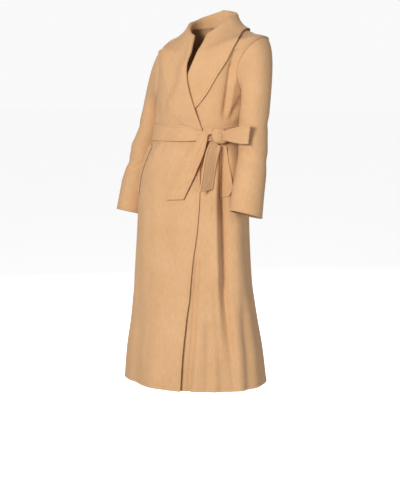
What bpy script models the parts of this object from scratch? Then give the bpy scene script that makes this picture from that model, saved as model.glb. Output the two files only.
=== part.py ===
"""Wool wrap coat, worn, with a wide shawl collar and a tied belt.

Metres, +Z up. The coat faces -Y and the wearer's left is +X. The origin is the
middle of the shoulders at the base of the neck, where the wearer holds the coat.

The coat is one surface, cut into panels. A place on it is a turn, in degrees
round the body from the front centre to the wearer's left, and a rise, in metres
up the cloth from the hem. Every panel, and whatever lies on one, is made from
that surface moved out along its normal.
"""
import math

import bpy
import numpy as np

# Driving sizes
WALL = 0.0026            # double-faced wool
BELT_WALL = 0.0030       # the belt is two layers pressed flat
BELT_HALF_WIDTH = 0.0270
GAP = 0.0003             # between pieces at a seam
SLEEVE_GAP = 0.0004      # round the armhole
COLLAR_GAP = 0.00045     # between the collar's edge and the coat's
LAYER_GAP = 0.0014       # between the two fronts where they lie on each other
TRIM_GAP = 0.0012        # under the collar, the pocket welts and the belt
NECK_RISE = 1.305        # hem to neck seam along the cloth
SHOULDER_RISE = 1.166    # hem to the top of the armhole
UNDERARM_RISE = 0.974
WAIST_RISE = 0.8615
ARMHOLE_HALF_TURN = 27.0
FOLD_REACH = 3.0         # half turns past which a fold is flat
FOLD_END = 0.012         # shortest run in which a fold's top end fades


def table(columns, rows):
    """Rows with named columns, read smoothly along the first column."""
    data = np.array(rows, dtype=float)
    steps = np.diff(data, axis=0)
    rates = steps / steps[:, :1]
    slopes = np.zeros_like(data)
    slopes[0], slopes[-1] = rates[0], rates[-1]
    product = rates[:-1] * rates[1:]
    total = np.where(product > 0, rates[:-1] + rates[1:], 1.0)
    slopes[1:-1] = np.where(product > 0, 2 * product / total, 0.0)
    return {"columns": columns, "keys": data[:, 0], "data": data, "slopes": slopes}


def named(columns, rows):
    """Rows of separate things, each with its columns by name."""
    return [dict(zip(columns, row)) for row in rows]


def read(source, key):
    """The table's columns at a key, by name."""
    keys = source["keys"]
    key = min(max(key, keys[0]), keys[-1])
    i = min(int(np.searchsorted(keys, key, side="right")) - 1, len(keys) - 2)
    span = keys[i + 1] - keys[i]
    f = (key - keys[i]) / span
    low, high = source["data"][i], source["data"][i + 1]
    leave, arrive = source["slopes"][i] * span, source["slopes"][i + 1] * span
    values = (
        low * (1 + 2 * f) * (1 - f) ** 2
        + leave * f * (1 - f) ** 2
        + high * f * f * (3 - 2 * f)
        + arrive * f * f * (f - 1)
    )
    return dict(zip(source["columns"], values))


# The coat's girth at each rise. The drops lower the front and back of a ring
# below its sides, so that the upper rings lie on the slope of the shoulders.
RINGS = table(
    ("rise", "side_z", "front_drop", "back_drop", "half_width", "front", "back", "square"),
    (
        (0.000, -1.1960, 0.000, 0.000, 0.2560, 0.199, 0.192, 2.10),
        (0.110, -1.0880, 0.000, 0.000, 0.2460, 0.188, 0.182, 2.10),
        (0.200, -1.0000, 0.000, 0.000, 0.2320, 0.175, 0.171, 2.10),
        (0.285, -0.9180, 0.000, 0.000, 0.2210, 0.165, 0.161, 2.10),
        (0.345, -0.8600, 0.000, 0.000, 0.2140, 0.158, 0.155, 2.10),
        (0.490, -0.7190, 0.000, 0.000, 0.2050, 0.150, 0.149, 2.10),
        (0.615, -0.5940, 0.000, 0.000, 0.1990, 0.145, 0.149, 2.10),
        (0.700, -0.5090, 0.000, 0.000, 0.1940, 0.140, 0.146, 2.10),
        (0.748, -0.4610, 0.000, 0.000, 0.1880, 0.135, 0.138, 2.10),
        (0.798, -0.4110, 0.000, 0.000, 0.1760, 0.127, 0.125, 2.10),
        (0.834, -0.3750, 0.000, 0.000, 0.1640, 0.117, 0.113, 2.10),
        (0.860, -0.3490, 0.000, 0.000, 0.1620, 0.115, 0.110, 2.10),
        (0.888, -0.3210, 0.000, 0.000, 0.1640, 0.117, 0.113, 2.12),
        (0.922, -0.2870, 0.000, 0.000, 0.1670, 0.123, 0.121, 2.15),
        (0.974, -0.2350, 0.002, 0.002, 0.1690, 0.129, 0.128, 2.20),
        (1.066, -0.1430, 0.012, 0.010, 0.1790, 0.129, 0.124, 2.35),
        (1.166, -0.0530, 0.042, 0.030, 0.1950, 0.116, 0.108, 2.60),
        (1.216, -0.0330, 0.046, 0.022, 0.1480, 0.106, 0.092, 2.40),
        (1.305, 0.0080, 0.052, 0.000, 0.0740, 0.088, 0.066, 2.10),
    ),
)

# How the body leans: the hips go to the wearer's right and forward.
LEAN = table(
    ("z", "across", "forward"),
    (
        (-1.196, -0.049, -0.035),
        (-1.000, -0.053, -0.037),
        (-0.800, -0.057, -0.040),
        (-0.560, -0.056, -0.040),
        (-0.460, -0.051, -0.036),
        (-0.350, -0.041, -0.025),
        (-0.270, -0.030, -0.017),
        (-0.170, -0.017, -0.009),
        (-0.045, 0.000, 0.000),
        (0.100, 0.004, 0.000),
    ),
)
SHOULDER_TILT = 0.100    # the left shoulder is held higher

# Where the front's free edge runs: turn of the edge of the front on top.
# Above the waist it is the roll line of the lapel, up to the neck seam.
FRONT_EDGE = table(
    ("rise", "turn"),
    (
        (0.000, 17.2),
        (0.110, 19.0),
        (0.180, 20.9),
        (0.250, 23.4),
        (0.315, 26.8),
        (0.380, 28.8),
        (0.450, 31.2),
        (0.515, 34.4),
        (0.580, 36.6),
        (0.673, 38.4),
        (0.780, 36.5),
        (0.866, 32.4),
        (0.893, 26.8),
        (0.934, 18.0),
        (0.985, 8.2),
        (1.040, -0.4),
        (1.110, -6.5),
        (1.200, -11.8),
        (1.305, -21.0),
    ),
)

# Folds of the body's cloth: each runs from its low end to its high end and fades
# out there. Height is outwards, and a trough's is negative.
FOLDS = named(
    ("low_turn", "low_rise", "high_turn", "high_rise", "half_turn", "height", "fade"),
    (
        # left front below the belt: the pulled ridge, the deep trough and the next ridge
        (52.5, 0.300, 48.5, 0.833, 6.0, 0.0100, 0.16),
        (62.0, 0.300, 61.5, 0.833, 6.5, -0.0140, 0.20),
        (53.0, 0.000, 61.0, 0.400, 6.5, -0.0060, 0.12),
        (78.0, 0.250, 80.0, 0.600, 8.0, 0.0040, 0.12),
        (39.0, 0.000, 46.0, 0.240, 7.0, -0.0045, 0.08),
        (68.0, 0.000, 70.0, 0.300, 7.0, 0.0050, 0.12),
        # left front above the belt: drags that point at the knot
        (60.0, 0.890, 54.0, 1.090, 6.5, -0.0080, 0.05),
        (64.0, 0.890, 76.0, 0.960, 6.0, -0.0050, 0.03),
        # right front: almost smooth, soft near the hem and under the belt
        (-12.0, 0.000, -8.0, 0.330, 9.0, 0.0045, 0.14),
        (-36.0, 0.000, -30.0, 0.420, 9.0, -0.0045, 0.16),
        (-60.0, 0.000, -54.0, 0.520, 10.0, 0.0050, 0.18),
        (-38.0, 0.740, -40.0, 0.833, 8.0, 0.0040, 0.06),
        (-62.0, 0.720, -60.0, 0.833, 9.0, -0.0045, 0.06),
        (-50.0, 0.890, -56.0, 0.980, 8.0, -0.0045, 0.04),
        # back: gathers below the belt, blousing above it and the flare of the skirt
        (120.0, 0.620, 114.0, 0.833, 9.5, -0.0060, 0.10),
        (142.0, 0.540, 140.0, 0.833, 9.5, 0.0060, 0.12),
        (164.0, 0.600, 163.0, 0.833, 9.5, -0.0065, 0.10),
        (186.0, 0.420, 185.0, 0.833, 9.5, 0.0070, 0.14),
        (208.0, 0.560, 207.0, 0.833, 9.5, -0.0060, 0.10),
        (232.0, 0.580, 234.0, 0.833, 10.0, 0.0055, 0.10),
        (130.0, 0.890, 124.0, 1.030, 9.5, -0.0060, 0.06),
        (156.0, 0.890, 148.0, 1.050, 9.5, 0.0050, 0.06),
        (188.0, 0.890, 182.0, 1.060, 10.0, -0.0050, 0.07),
        (228.0, 0.890, 232.0, 1.020, 9.5, -0.0055, 0.05),
        (124.0, 0.000, 128.0, 0.440, 10.0, 0.0080, 0.20),
        (147.0, 0.000, 150.0, 0.400, 9.5, -0.0075, 0.18),
        (170.0, 0.000, 168.0, 0.460, 10.0, 0.0080, 0.20),
        (194.0, 0.000, 190.0, 0.380, 10.0, -0.0080, 0.18),
        (218.0, 0.000, 213.0, 0.440, 10.0, 0.0080, 0.20),
        (241.0, 0.000, 236.0, 0.400, 9.5, -0.0060, 0.18),
    ),
)

# How far the front on top stands off the coat's surface, which the left front
# and its lapel lie under.
UNDER_LAYERS = table(
    ("rise", "lift"),
    (
        (0.000, 0.0085),
        (0.400, 0.0065),
        (0.760, WALL + LAYER_GAP),
        (0.889, WALL + LAYER_GAP),
        (0.936, 0.0105),
        (1.030, 0.0135),
        (1.090, 0.0135),
        (1.180, 0.0),
    ),
)


def smooth(value, low, high):
    """0 below low, 1 above high, and a soft rise between them."""
    f = min(max((value - low) / (high - low), 0.0), 1.0)
    return f * f * (3 - 2 * f)


def turn_between(first, second):
    """The signed way round from the second turn to the first."""
    return (first - second + 180.0) % 360.0 - 180.0


def fold_height(turn, rise):
    """How far all the folds together move the cloth out."""
    height = 0.0
    for fold in FOLDS:
        low, high = fold["low_rise"], fold["high_rise"]
        if not low <= rise <= high:
            continue
        along = (rise - low) / (high - low)
        middle = fold["low_turn"] + (fold["high_turn"] - fold["low_turn"]) * along
        away = turn_between(turn, middle) / fold["half_turn"]
        if abs(away) > FOLD_REACH:
            continue
        start = 1.0 if low == 0.0 else smooth(rise, low, low + fold["fade"])
        end = 1.0 - smooth(rise, high - FOLD_END - fold["fade"] * 0.25, high)
        height += fold["height"] * math.exp(-away * away) * start * end
    return height


def lean(x, y, z):
    """A point of the upright coat, moved as the wearer stands."""
    shift = read(LEAN, z)
    tilt = SHOULDER_TILT * smooth(z, -0.36, -0.10) * (1 - smooth(z, 0.02, 0.10))
    return np.array((x + shift["across"], y + shift["forward"], z + tilt * x))


def plain_point(turn, rise):
    """A point of the coat's outer face before its folds."""
    ring = read(RINGS, rise)
    angle = math.radians(turn)
    across, ahead = math.sin(angle), math.cos(angle)
    depth = ring["front"] if ahead > 0 else ring["back"]
    drop = ring["front_drop"] if ahead > 0 else ring["back_drop"]
    power = ring["square"]
    reach = (abs(across / ring["half_width"]) ** power + abs(ahead / depth) ** power) ** (-1 / power)
    return lean(reach * across, -reach * ahead, ring["side_z"] - drop * ahead * ahead)


UP = np.array((0.0, 0.0, 1.0))


def unit(vector):
    return vector / np.linalg.norm(vector)


def normal_of(surface, turn, rise):
    """Outward normal of a surface given by turn and rise."""
    round_step, up_step = 0.5, 0.003
    low = max(rise - up_step, 0.0)
    high = min(rise + up_step, NECK_RISE)
    around = surface(turn + round_step, rise) - surface(turn - round_step, rise)
    upwards = surface(turn, high) - surface(turn, low)
    return unit(np.cross(around, upwards))


def coat_point(turn, rise, lift=0.0):
    """A point of the coat's outer face with its folds, moved out by lift."""
    out = fold_height(turn, rise) + lift
    return plain_point(turn, rise) + normal_of(plain_point, turn, rise) * out


def turn_step(turn, rise, length):
    """The turn that covers a length along the ring."""
    whole = np.linalg.norm(plain_point(turn + 0.5, rise) - plain_point(turn - 0.5, rise))
    return length / whole


def top_layer_lift(turn, rise):
    """How far the front on top stands off, from its side seam to its free edge."""
    edge = read(FRONT_EDGE, rise)["turn"]
    under = -max(edge, 0.0)
    ramp = smooth(turn, under - 26.0, under - 4.0)
    return read(UNDER_LAYERS, rise)["lift"] * ramp


def right_front_point(turn, rise):
    return coat_point(turn, rise, top_layer_lift(turn, rise))


def make_material(name, colour, roughness):
    material = bpy.data.materials.new(name)
    material.use_nodes = True
    shader = material.node_tree.nodes["Principled BSDF"]
    shader.inputs["Base Color"].default_value = (*colour, 1.0)
    shader.inputs["Roughness"].default_value = roughness
    shader.inputs["Metallic"].default_value = 0.0
    return material


def add_object(name, points, faces, material):
    """A closed body from its points and faces, shaded smooth."""
    mesh = bpy.data.meshes.new(name)
    mesh.from_pydata([tuple(map(float, point)) for point in points], [], faces)
    mesh.materials.append(material)
    mesh.shade_smooth()
    mesh.set_sharp_from_angle(angle=math.radians(50))
    body = bpy.data.objects.new(name, mesh)
    bpy.context.scene.collection.objects.link(body)
    return body


def grid_faces(rows, columns, start, closed, flip):
    """Triangles of a grid whose points run row by row, all cut the same way."""
    faces = []
    for i in range(rows - 1):
        for j in range(columns if closed else columns - 1):
            k = (j + 1) % columns
            a, b = start + i * columns + j, start + i * columns + k
            c, d = b + columns, a + columns
            for face in ((a, b, c), (a, c, d)):
                faces.append(face[::-1] if flip else face)
    return faces


def add_wall(name, outer, inner, material, closed=False, flip=False):
    """A sheet between two grids of points: its faces and its cut edges."""
    rows, columns = len(outer), len(outer[0])
    count = rows * columns
    points = [point for row in outer for point in row]
    points += [point for row in inner for point in row]
    faces = grid_faces(rows, columns, 0, closed, flip)
    faces += grid_faces(rows, columns, count, closed, not flip)
    last = (rows - 1) * columns
    rim = []
    for j in range(columns if closed else columns - 1):
        k = (j + 1) % columns
        rim.append((j + count, k + count, k, j))
        rim.append((last + j, last + k, last + k + count, last + j + count))
    if not closed:
        for i in range(rows - 1):
            a, b = i * columns, (i + 1) * columns
            rim.append((a, b, b + count, a + count))
            a, b = a + columns - 1, b + columns - 1
            rim.append((a + count, b + count, b, a))
    faces += [face[::-1] for face in rim] if flip else rim
    return add_object(name, points, faces, material)


def sheet_normals(grid, closed=False):
    """Normals of a grid of points, by differences along its rows and columns."""
    points = np.array(grid)
    if closed:
        along = np.roll(points, -1, axis=1) - np.roll(points, 1, axis=1)
    else:
        along = np.gradient(points, axis=1)
    across = np.gradient(points, axis=0)
    normals = np.cross(along, across)
    return normals / np.linalg.norm(normals, axis=2, keepdims=True)


# ---------------------------------------------------------------- body panels

ARMHOLE_STEPS = 11
LOW_RISES = (0.0, 0.07, 0.15, 0.24, 0.33, 0.42, 0.51, 0.60, 0.68, 0.735, 0.775)
WAIST_RISES = (0.806, 0.834, 0.862, 0.889, 0.914, 0.942)
TOP_RISES = (1.190, 1.222, 1.262, NECK_RISE)


def armhole_rises():
    """Rises round the armhole, closest together at its ends."""
    middle = (SHOULDER_RISE + UNDERARM_RISE) / 2
    half = (SHOULDER_RISE - UNDERARM_RISE) / 2
    return [middle - half * math.cos(math.pi * i / (ARMHOLE_STEPS - 1)) for i in range(ARMHOLE_STEPS)]


def armhole_half_turn(rise):
    """Half of the turn that the armhole takes out at a rise."""
    middle = (SHOULDER_RISE + UNDERARM_RISE) / 2
    half = (SHOULDER_RISE - UNDERARM_RISE) / 2
    inside = 1 - ((rise - middle) / half) ** 2
    return ARMHOLE_HALF_TURN * math.sqrt(max(inside, 0.0))


def panel_rises():
    return [*LOW_RISES, *WAIST_RISES, *armhole_rises(), *TOP_RISES]


def seam_turn(side, towards, rise):
    """Turn of an armhole's edge, or of a side seam half a gap short of it."""
    seam = side * 90.0
    half = armhole_half_turn(rise)
    if half < 1.0:
        half = turn_step(seam, rise, GAP / 2)
    return seam + towards * half


def front_edge(rise):
    return read(FRONT_EDGE, rise)["turn"]


# Each panel: its surface, the turns of its two edges at a rise, and its columns.
PANELS = {
    "back": (
        coat_point,
        lambda rise: seam_turn(1, 1, rise),
        lambda rise: 360.0 + seam_turn(-1, -1, rise),
        19,
    ),
    "right_front": (
        right_front_point,
        lambda rise: seam_turn(-1, 1, rise),
        front_edge,
        17,
    ),
    "left_front": (
        coat_point,
        lambda rise: -front_edge(rise),
        lambda rise: seam_turn(1, -1, rise),
        22,
    ),
}


def panel_grid(name):
    """A panel's outer points and their normals, row by row from the hem."""
    surface, start_turn, end_turn, columns = PANELS[name]
    points, normals = [], []
    for rise in panel_rises():
        start, end = start_turn(rise), end_turn(rise)
        turns = [start + (end - start) * j / (columns - 1) for j in range(columns)]
        points.append([surface(turn, rise) for turn in turns])
        normals.append([normal_of(surface, turn, rise) for turn in turns])
    return np.array(points), np.array(normals)


def add_panels(material):
    grids = {}
    for name in PANELS:
        points, normals = panel_grid(name)
        grids[name] = (points, normals)
        add_wall(name, points, points - normals * WALL, material)
    return grids


def on_panel(grids, name, turn, rise, lift):
    """A point read from a panel's own points and moved out along their normals."""
    points, normals = grids[name]
    rises = panel_rises()
    i = min(max(int(np.searchsorted(rises, rise, side="right")) - 1, 0), len(rises) - 2)
    f = (rise - rises[i]) / (rises[i + 1] - rises[i])
    _, start_turn, end_turn, columns = PANELS[name]
    start, end = start_turn(rise), end_turn(rise)
    column = (turn - start) / (end - start) * (columns - 1)
    j = min(max(int(math.floor(column)), 0), columns - 2)
    g = column - j
    corners = ((i, j, (1 - f) * (1 - g)), (i, j + 1, (1 - f) * g),
               (i + 1, j, f * (1 - g)), (i + 1, j + 1, f * g))
    return sum(share * (points[r, c] + normals[r, c] * lift) for r, c, share in corners)


# -------------------------------------------------------------------- sleeves

# The sleeves' middles and half widths, down from the underarm to the cuff.
# Slopes tilt each ring square to the forearm: how much it climbs along x and along y.
SLEEVE_COLUMNS = ("z", "x", "y", "half_x", "half_y", "slope_x", "slope_y")
LEFT_SLEEVE = table(
    SLEEVE_COLUMNS,
    (
        (-0.605, 0.198, -0.134, 0.0530, 0.0560, -0.120, -0.270),
        (-0.540, 0.195, -0.114, 0.0520, 0.0550, -0.080, -0.180),
        (-0.470, 0.191, -0.086, 0.0500, 0.0530, -0.030, -0.080),
        (-0.410, 0.189, -0.070, 0.0480, 0.0520, 0.000, 0.000),
        (-0.350, 0.189, -0.070, 0.0475, 0.0535, 0.000, 0.000),
        (-0.280, 0.190, -0.062, 0.0470, 0.0570, 0.000, 0.000),
    ),
)
RIGHT_SLEEVE = table(
    SLEEVE_COLUMNS,
    (
        (-0.630, -0.3075, -0.044, 0.0485, 0.0540, -0.120, -0.220),
        (-0.540, -0.3080, -0.010, 0.0500, 0.0540, -0.070, -0.140),
        (-0.470, -0.300, 0.012, 0.0490, 0.0540, -0.030, -0.060),
        (-0.410, -0.288, 0.024, 0.0480, 0.0540, 0.000, 0.000),
        (-0.350, -0.268, 0.030, 0.0480, 0.0560, 0.000, 0.000),
        (-0.280, -0.2520, 0.036, 0.0435, 0.0580, 0.000, 0.000),
    ),
)
CAP_RINGS = 5
CAP_START_SHARE = {1: 0.17, -1: 0.21}    # of its length that a cap first runs outwards
CAP_START_LEAST = 0.013
CAP_END_SHARE = 0.34     # of its length that it comes down along the arm
CAP_SLOPES = (0.25, -0.45)               # how its start spreads to the front and back, and falls
ARM_SLOPE_RUN = 0.05     # length at its top that gives the arm's direction
ARM_RINGS = 14

# Creases of the sleeves: part of the way round from the outside over the front,
# height up the sleeve, half widths, and how far out.
SLEEVE_FOLD = ("around", "z", "half_around", "half_z", "slant", "height")
LEFT_SLEEVE_FOLDS = named(SLEEVE_FOLD, (
    (60.0, -0.330, 60.0, 0.016, 0.020, -0.0045),
    (85.0, -0.375, 55.0, 0.018, -0.018, 0.0045),
    (70.0, -0.425, 60.0, 0.018, 0.024, -0.0045),
    (200.0, -0.390, 60.0, 0.018, 0.020, -0.0040),
    (-60.0, -0.300, 60.0, 0.020, -0.024, -0.0045),
    (-40.0, -0.440, 60.0, 0.020, 0.020, -0.0040),
))
RIGHT_SLEEVE_FOLDS = named(SLEEVE_FOLD, (
    (50.0, -0.450, 60.0, 0.018, 0.030, -0.0055),
    (60.0, -0.400, 60.0, 0.018, -0.020, 0.0045),
    (20.0, -0.340, 60.0, 0.018, 0.026, -0.0045),
    (-70.0, -0.420, 60.0, 0.020, -0.020, -0.0045),
    (180.0, -0.430, 60.0, 0.018, 0.010, -0.0030),
))


def sleeve_fold(folds, around, z):
    """How far a sleeve's creases move its cloth out."""
    height = 0.0
    for fold in folds:
        away = turn_between(around, fold["around"]) / fold["half_around"]
        level = (z - fold["z"] - fold["slant"] * away) / fold["half_z"]
        height += fold["height"] * math.exp(-away * away - level * level)
    return height


def armhole_ring(side):
    """Points just inside the armhole's edge, and the directions into the hole.

    They run from the shoulder down the front to the underarm and up the back.
    """
    down = armhole_rises()[::-1]
    places = [(-1, rise) for rise in down] + [(1, rise) for rise in down[-2:0:-1]]
    points, normals = [], []
    for towards, rise in places:
        turn = side * (90.0 + towards * armhole_half_turn(rise))
        surface = right_front_point if side < 0 and towards < 0 else coat_point
        points.append(surface(turn, rise))
        normals.append(normal_of(surface, turn, rise))
    points, normals = np.array(points), np.array(normals)
    tangents = np.roll(points, -1, axis=0) - np.roll(points, 1, axis=0)
    holes = np.cross(tangents, normals)
    holes /= np.linalg.norm(holes, axis=1, keepdims=True)
    inwards = np.sum(holes * (points.mean(axis=0) - points), axis=1)
    holes *= np.sign(inwards)[:, None]
    return points + holes * SLEEVE_GAP, holes


def sleeve(name, side, arm, folds, material):
    """A sleeve: a cap that turns down from the armhole, then the arm's tube."""
    ring, holes = armhole_ring(side)
    count = len(ring)
    top_z = arm["keys"][-1]
    cuff_z = arm["keys"][0]

    def arm_point(j, z):
        cut = read(arm, z)
        around = 360.0 * j / count
        angle = math.radians(around)
        out = sleeve_fold(folds, around, z)
        dx = side * (cut["half_x"] + out) * math.cos(angle)
        dy = -(cut["half_y"] + out) * math.sin(angle)
        climb = cut["slope_x"] * dx + cut["slope_y"] * dy
        return np.array((cut["x"] + dx, cut["y"] + dy, z + climb))

    top, below = read(arm, top_z), read(arm, top_z - ARM_SLOPE_RUN)
    up_arm = unit(np.array((top["x"] - below["x"], top["y"] - below["y"], ARM_SLOPE_RUN)))
    middle = ring.mean(axis=0)
    rows = [list(ring)]
    for i in range(1, CAP_RINGS):
        f = i / CAP_RINGS
        row = []
        for j in range(count):
            start, end = ring[j], arm_point(j, top_z)
            spread = unit(start - middle)
            sideways, fall = CAP_SLOPES[0] * spread[1], CAP_SLOPES[1] * max(spread[2], 0.0)
            away = unit(np.array((side, sideways, fall)))
            reach = np.linalg.norm(end - start)
            leave = start + away * max(CAP_START_SHARE[side] * reach, CAP_START_LEAST)
            arrive = end + up_arm * CAP_END_SHARE * reach
            row.append(
                start * (1 - f) ** 3 + leave * 3 * f * (1 - f) ** 2
                + arrive * 3 * f * f * (1 - f) + end * f ** 3
            )
        rows.append(row)
    for i in range(ARM_RINGS):
        z = top_z + (cuff_z - top_z) * i / (ARM_RINGS - 1)
        rows.append([arm_point(j, z) for j in range(count)])

    normals = sheet_normals(rows, closed=True) * side
    outer = np.array(rows)
    inner = outer - normals * WALL
    for j in range(count):
        wall = -normals[0, j] + holes[j] * max(normals[0, j] @ holes[j], 0.0)
        inner[0, j] = outer[0, j] + unit(wall) * WALL
    return add_wall(name, outer, inner, material, closed=True, flip=side < 0)


# --------------------------------------------------------------------- collar

# The shawl collar from under the belt (0) to the centre back (1). Its edge joins
# the coat, the roll is its fold, and the fall's outer edge lies on the coat.
# Past the front's edge, the edge follows the neck seam, where the stand is set in from
# the seam. Turns are to the collar's own side.
COLLAR = table(
    ("along", "edge_rise", "past_front", "inset", "roll_up", "roll_radius",
     "fall_turn", "fall_rise", "fall_lift"),
    (
        (0.00, 0.8660, 0.0, 0.0000, 0.000, 0.0028, -21.0, 0.866, 0.0000),
        (0.06, 0.8930, 0.0, 0.0000, 0.000, 0.0032, -6.0, 0.892, 0.0012),
        (0.14, 0.9340, 0.0, 0.0000, 0.000, 0.0036, 14.0, 0.931, 0.0030),
        (0.22, 0.9850, 0.0, 0.0000, 0.000, 0.0040, 31.0, 0.985, 0.0030),
        (0.32, 1.0400, 0.0, 0.0000, 0.000, 0.0042, 41.5, 1.045, 0.0018),
        (0.42, 1.1100, 0.0, 0.0000, 0.000, 0.0046, 49.0, 1.095, 0.0020),
        (0.52, 1.2000, 0.0, 0.0000, 0.001, 0.0052, 53.5, 1.140, 0.0030),
        (0.60, 1.3050, 0.0, 0.0043, 0.003, 0.0056, 61.5, 1.192, 0.0028),
        (0.68, 1.3050, 24.0, 0.0028, 0.011, 0.0050, 77.0, 1.232, 0.0032),
        (0.78, 1.3050, 69.0, 0.0024, 0.020, 0.0050, 102.0, 1.244, 0.0036),
        (0.88, 1.3050, 114.0, 0.0024, 0.038, 0.0050, 139.0, 1.236, 0.0050),
        (1.00, 1.3050, 159.0, 0.0024, 0.050, 0.0050, 180.0, 1.226, 0.0054),
    ),
)
ROLL_ANGLES = (25.0, 85.0, 140.0)
FALL_STEPS = (0.12, 0.30, 0.50, 0.75, 1.0)
LEFT_START, LEFT_STATIONS = 0.16, 22      # the hidden lapel ends above the belt
RIGHT_START, RIGHT_STATIONS = 0.0, 31
NECK_START, NECK_END = 0.53, 0.66         # where the edge turns to the neck seam
EDGE_RUN = 0.0032        # of cloth past the front's edge before it rolls
RIGHT_NARROWER = 4.5     # turn by which the right half's lapel is narrower
STAND_SHARE = 0.45       # how far up the stand its first point past the edge is


def collar_half(name, side, front, first, stations, grids, material):
    """Half of the collar: stand, roll and fall at stations along its edge."""
    def under(turn, rise, lift):
        if abs(turn) <= 90.0:
            return on_panel(grids, front, turn, rise, lift)
        return on_panel(grids, "back", turn % 360.0, rise, lift)

    middle = []
    for i in range(stations):
        along = first + (1 - first) * i / (stations - 1)
        at = read(COLLAR, along)
        rise = min(at["edge_rise"], NECK_RISE)
        turn = side * (at["past_front"] - front_edge(rise))
        lapel = smooth(along, 0.10, 0.26) * (1 - smooth(along, 0.50, 0.72))
        fall_turn = side * at["fall_turn"]
        if side < 0:
            fall_turn += RIGHT_NARROWER * lapel
        if i == stations - 1:
            turn = side * (180.0 - turn_step(180.0, rise, GAP))
            fall_turn = turn
        neck = smooth(along, NECK_START, NECK_END)
        edge, beneath = under(turn, rise, 0.0), under(turn, rise, -WALL / 2)
        normal = unit(edge - beneath)
        opening = unit(under(turn - side * 0.5, rise, 0.0) - under(turn + side * 0.5, rise, 0.0))
        upwards = unit(edge - under(turn, rise - 0.01, 0.0))
        into = unit(opening * (1 - neck) + upwards * neck)
        outwards = unit(normal * (1 - neck) + np.array((normal[0], normal[1], 0.0)) * neck)
        climb = unit(into * (1 - neck) + UP * neck)
        radius = at["roll_radius"]
        start = beneath + into * COLLAR_GAP - outwards * at["inset"]
        run = start + into * EDGE_RUN * (1 - neck)
        top = run + UP * at["roll_up"]
        row = [start, run + UP * at["roll_up"] * STAND_SHARE]
        for angle in ROLL_ANGLES:
            c, s = math.cos(math.radians(angle)), math.sin(math.radians(angle))
            row.append(top + outwards * radius * (1 - c) + climb * radius * s)
        rest = WALL / 2 + TRIM_GAP + at["fall_lift"]
        for f in FALL_STEPS:
            place = turn + (fall_turn - turn) * f
            level = rise + (at["fall_rise"] - rise) * f
            near_roll = (1 - f) ** 3
            lift = rest + (2 * radius - WALL / 2 - rest) * near_roll
            row.append(under(place, level, lift) + UP * at["roll_up"] * near_roll)
        middle.append(row)
    normals = sheet_normals(middle) * side
    normals[-1, :, 0] = 0.0
    normals[-1] /= np.linalg.norm(normals[-1], axis=1, keepdims=True)
    outer = np.array(middle) + normals * WALL / 2
    inner = np.array(middle) - normals * WALL / 2
    return add_wall(name, outer, inner, material, flip=side < 0)


# ----------------------------------------------------------------------- belt

KNOT_TURN = 57.0
BELT = table(
    ("turn", "lift", "shift", "half_width"),
    (
        (58.5, 0.0016, 0.000, 0.0200),
        (66.0, 0.0016, 0.000, 0.0245),
        (78.0, 0.0014, 0.000, BELT_HALF_WIDTH),
        (296.0, 0.0014, 0.000, BELT_HALF_WIDTH),
        (305.0, 0.0032, 0.000, BELT_HALF_WIDTH),
        (314.0, 0.0047, 0.000, BELT_HALF_WIDTH),
        (322.0, 0.0056, 0.000, BELT_HALF_WIDTH),
        (340.0, 0.0070, 0.000, BELT_HALF_WIDTH),
        (352.0, 0.0100, 0.000, BELT_HALF_WIDTH),
        (362.0, 0.0115, 0.000, BELT_HALF_WIDTH),
        (372.0, 0.0122, -0.0015, 0.0250),
        (384.0, 0.0128, -0.0045, 0.0205),
        (396.0, 0.0130, -0.0080, 0.0160),
        (404.0, 0.0080, -0.0085, 0.0150),
        (410.0, 0.0034, -0.0080, 0.0145),
        (415.5, 0.0016, -0.0070, 0.0140),
    ),
)
BELT_STATIONS = 50
ACROSS = (-1.0, -0.5, 0.0, 0.5, 1.0)


def belt_band(material):
    """The belt round the waist; its two ends are behind the knot."""
    first, last = BELT["keys"][0], BELT["keys"][-1]
    inner, outer = [], []
    for k in ACROSS:
        inside, outside = [], []
        for i in range(BELT_STATIONS):
            turn = first + (last - first) * i / (BELT_STATIONS - 1)
            at = read(BELT, turn)
            rise = WAIST_RISE + at["shift"] + k * at["half_width"]
            normal = normal_of(plain_point, turn, rise)
            point = plain_point(turn, rise) + normal * at["lift"]
            inside.append(point)
            outside.append(point + normal * BELT_WALL)
        inner.append(inside)
        outer.append(outside)
    return add_wall("belt_band", outer, inner, material)


def ribbon(name, middles, sides, half_widths, material):
    """A flat strip along a line of middles; sides point across its width."""
    rows = np.array([
        [point + side * half * k for point, side, half in zip(middles, sides, half_widths)]
        for k in ACROSS
    ])
    facing = sheet_normals(rows) * BELT_WALL / 2
    return add_wall(name, rows + facing, rows - facing, material)


KNOT_LIFT = 0.0195       # from the coat to the middle of the knot
KNOT_DROP = 0.006        # below the middle of the belt


def knot_frame():
    """The knot's middle, and its directions across and outwards."""
    normal = normal_of(plain_point, KNOT_TURN, WAIST_RISE)
    out = unit(np.array((normal[0], normal[1], 0.0)))
    middle = plain_point(KNOT_TURN, WAIST_RISE - KNOT_DROP) + out * KNOT_LIFT
    return middle, np.cross(UP, out), out


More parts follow.
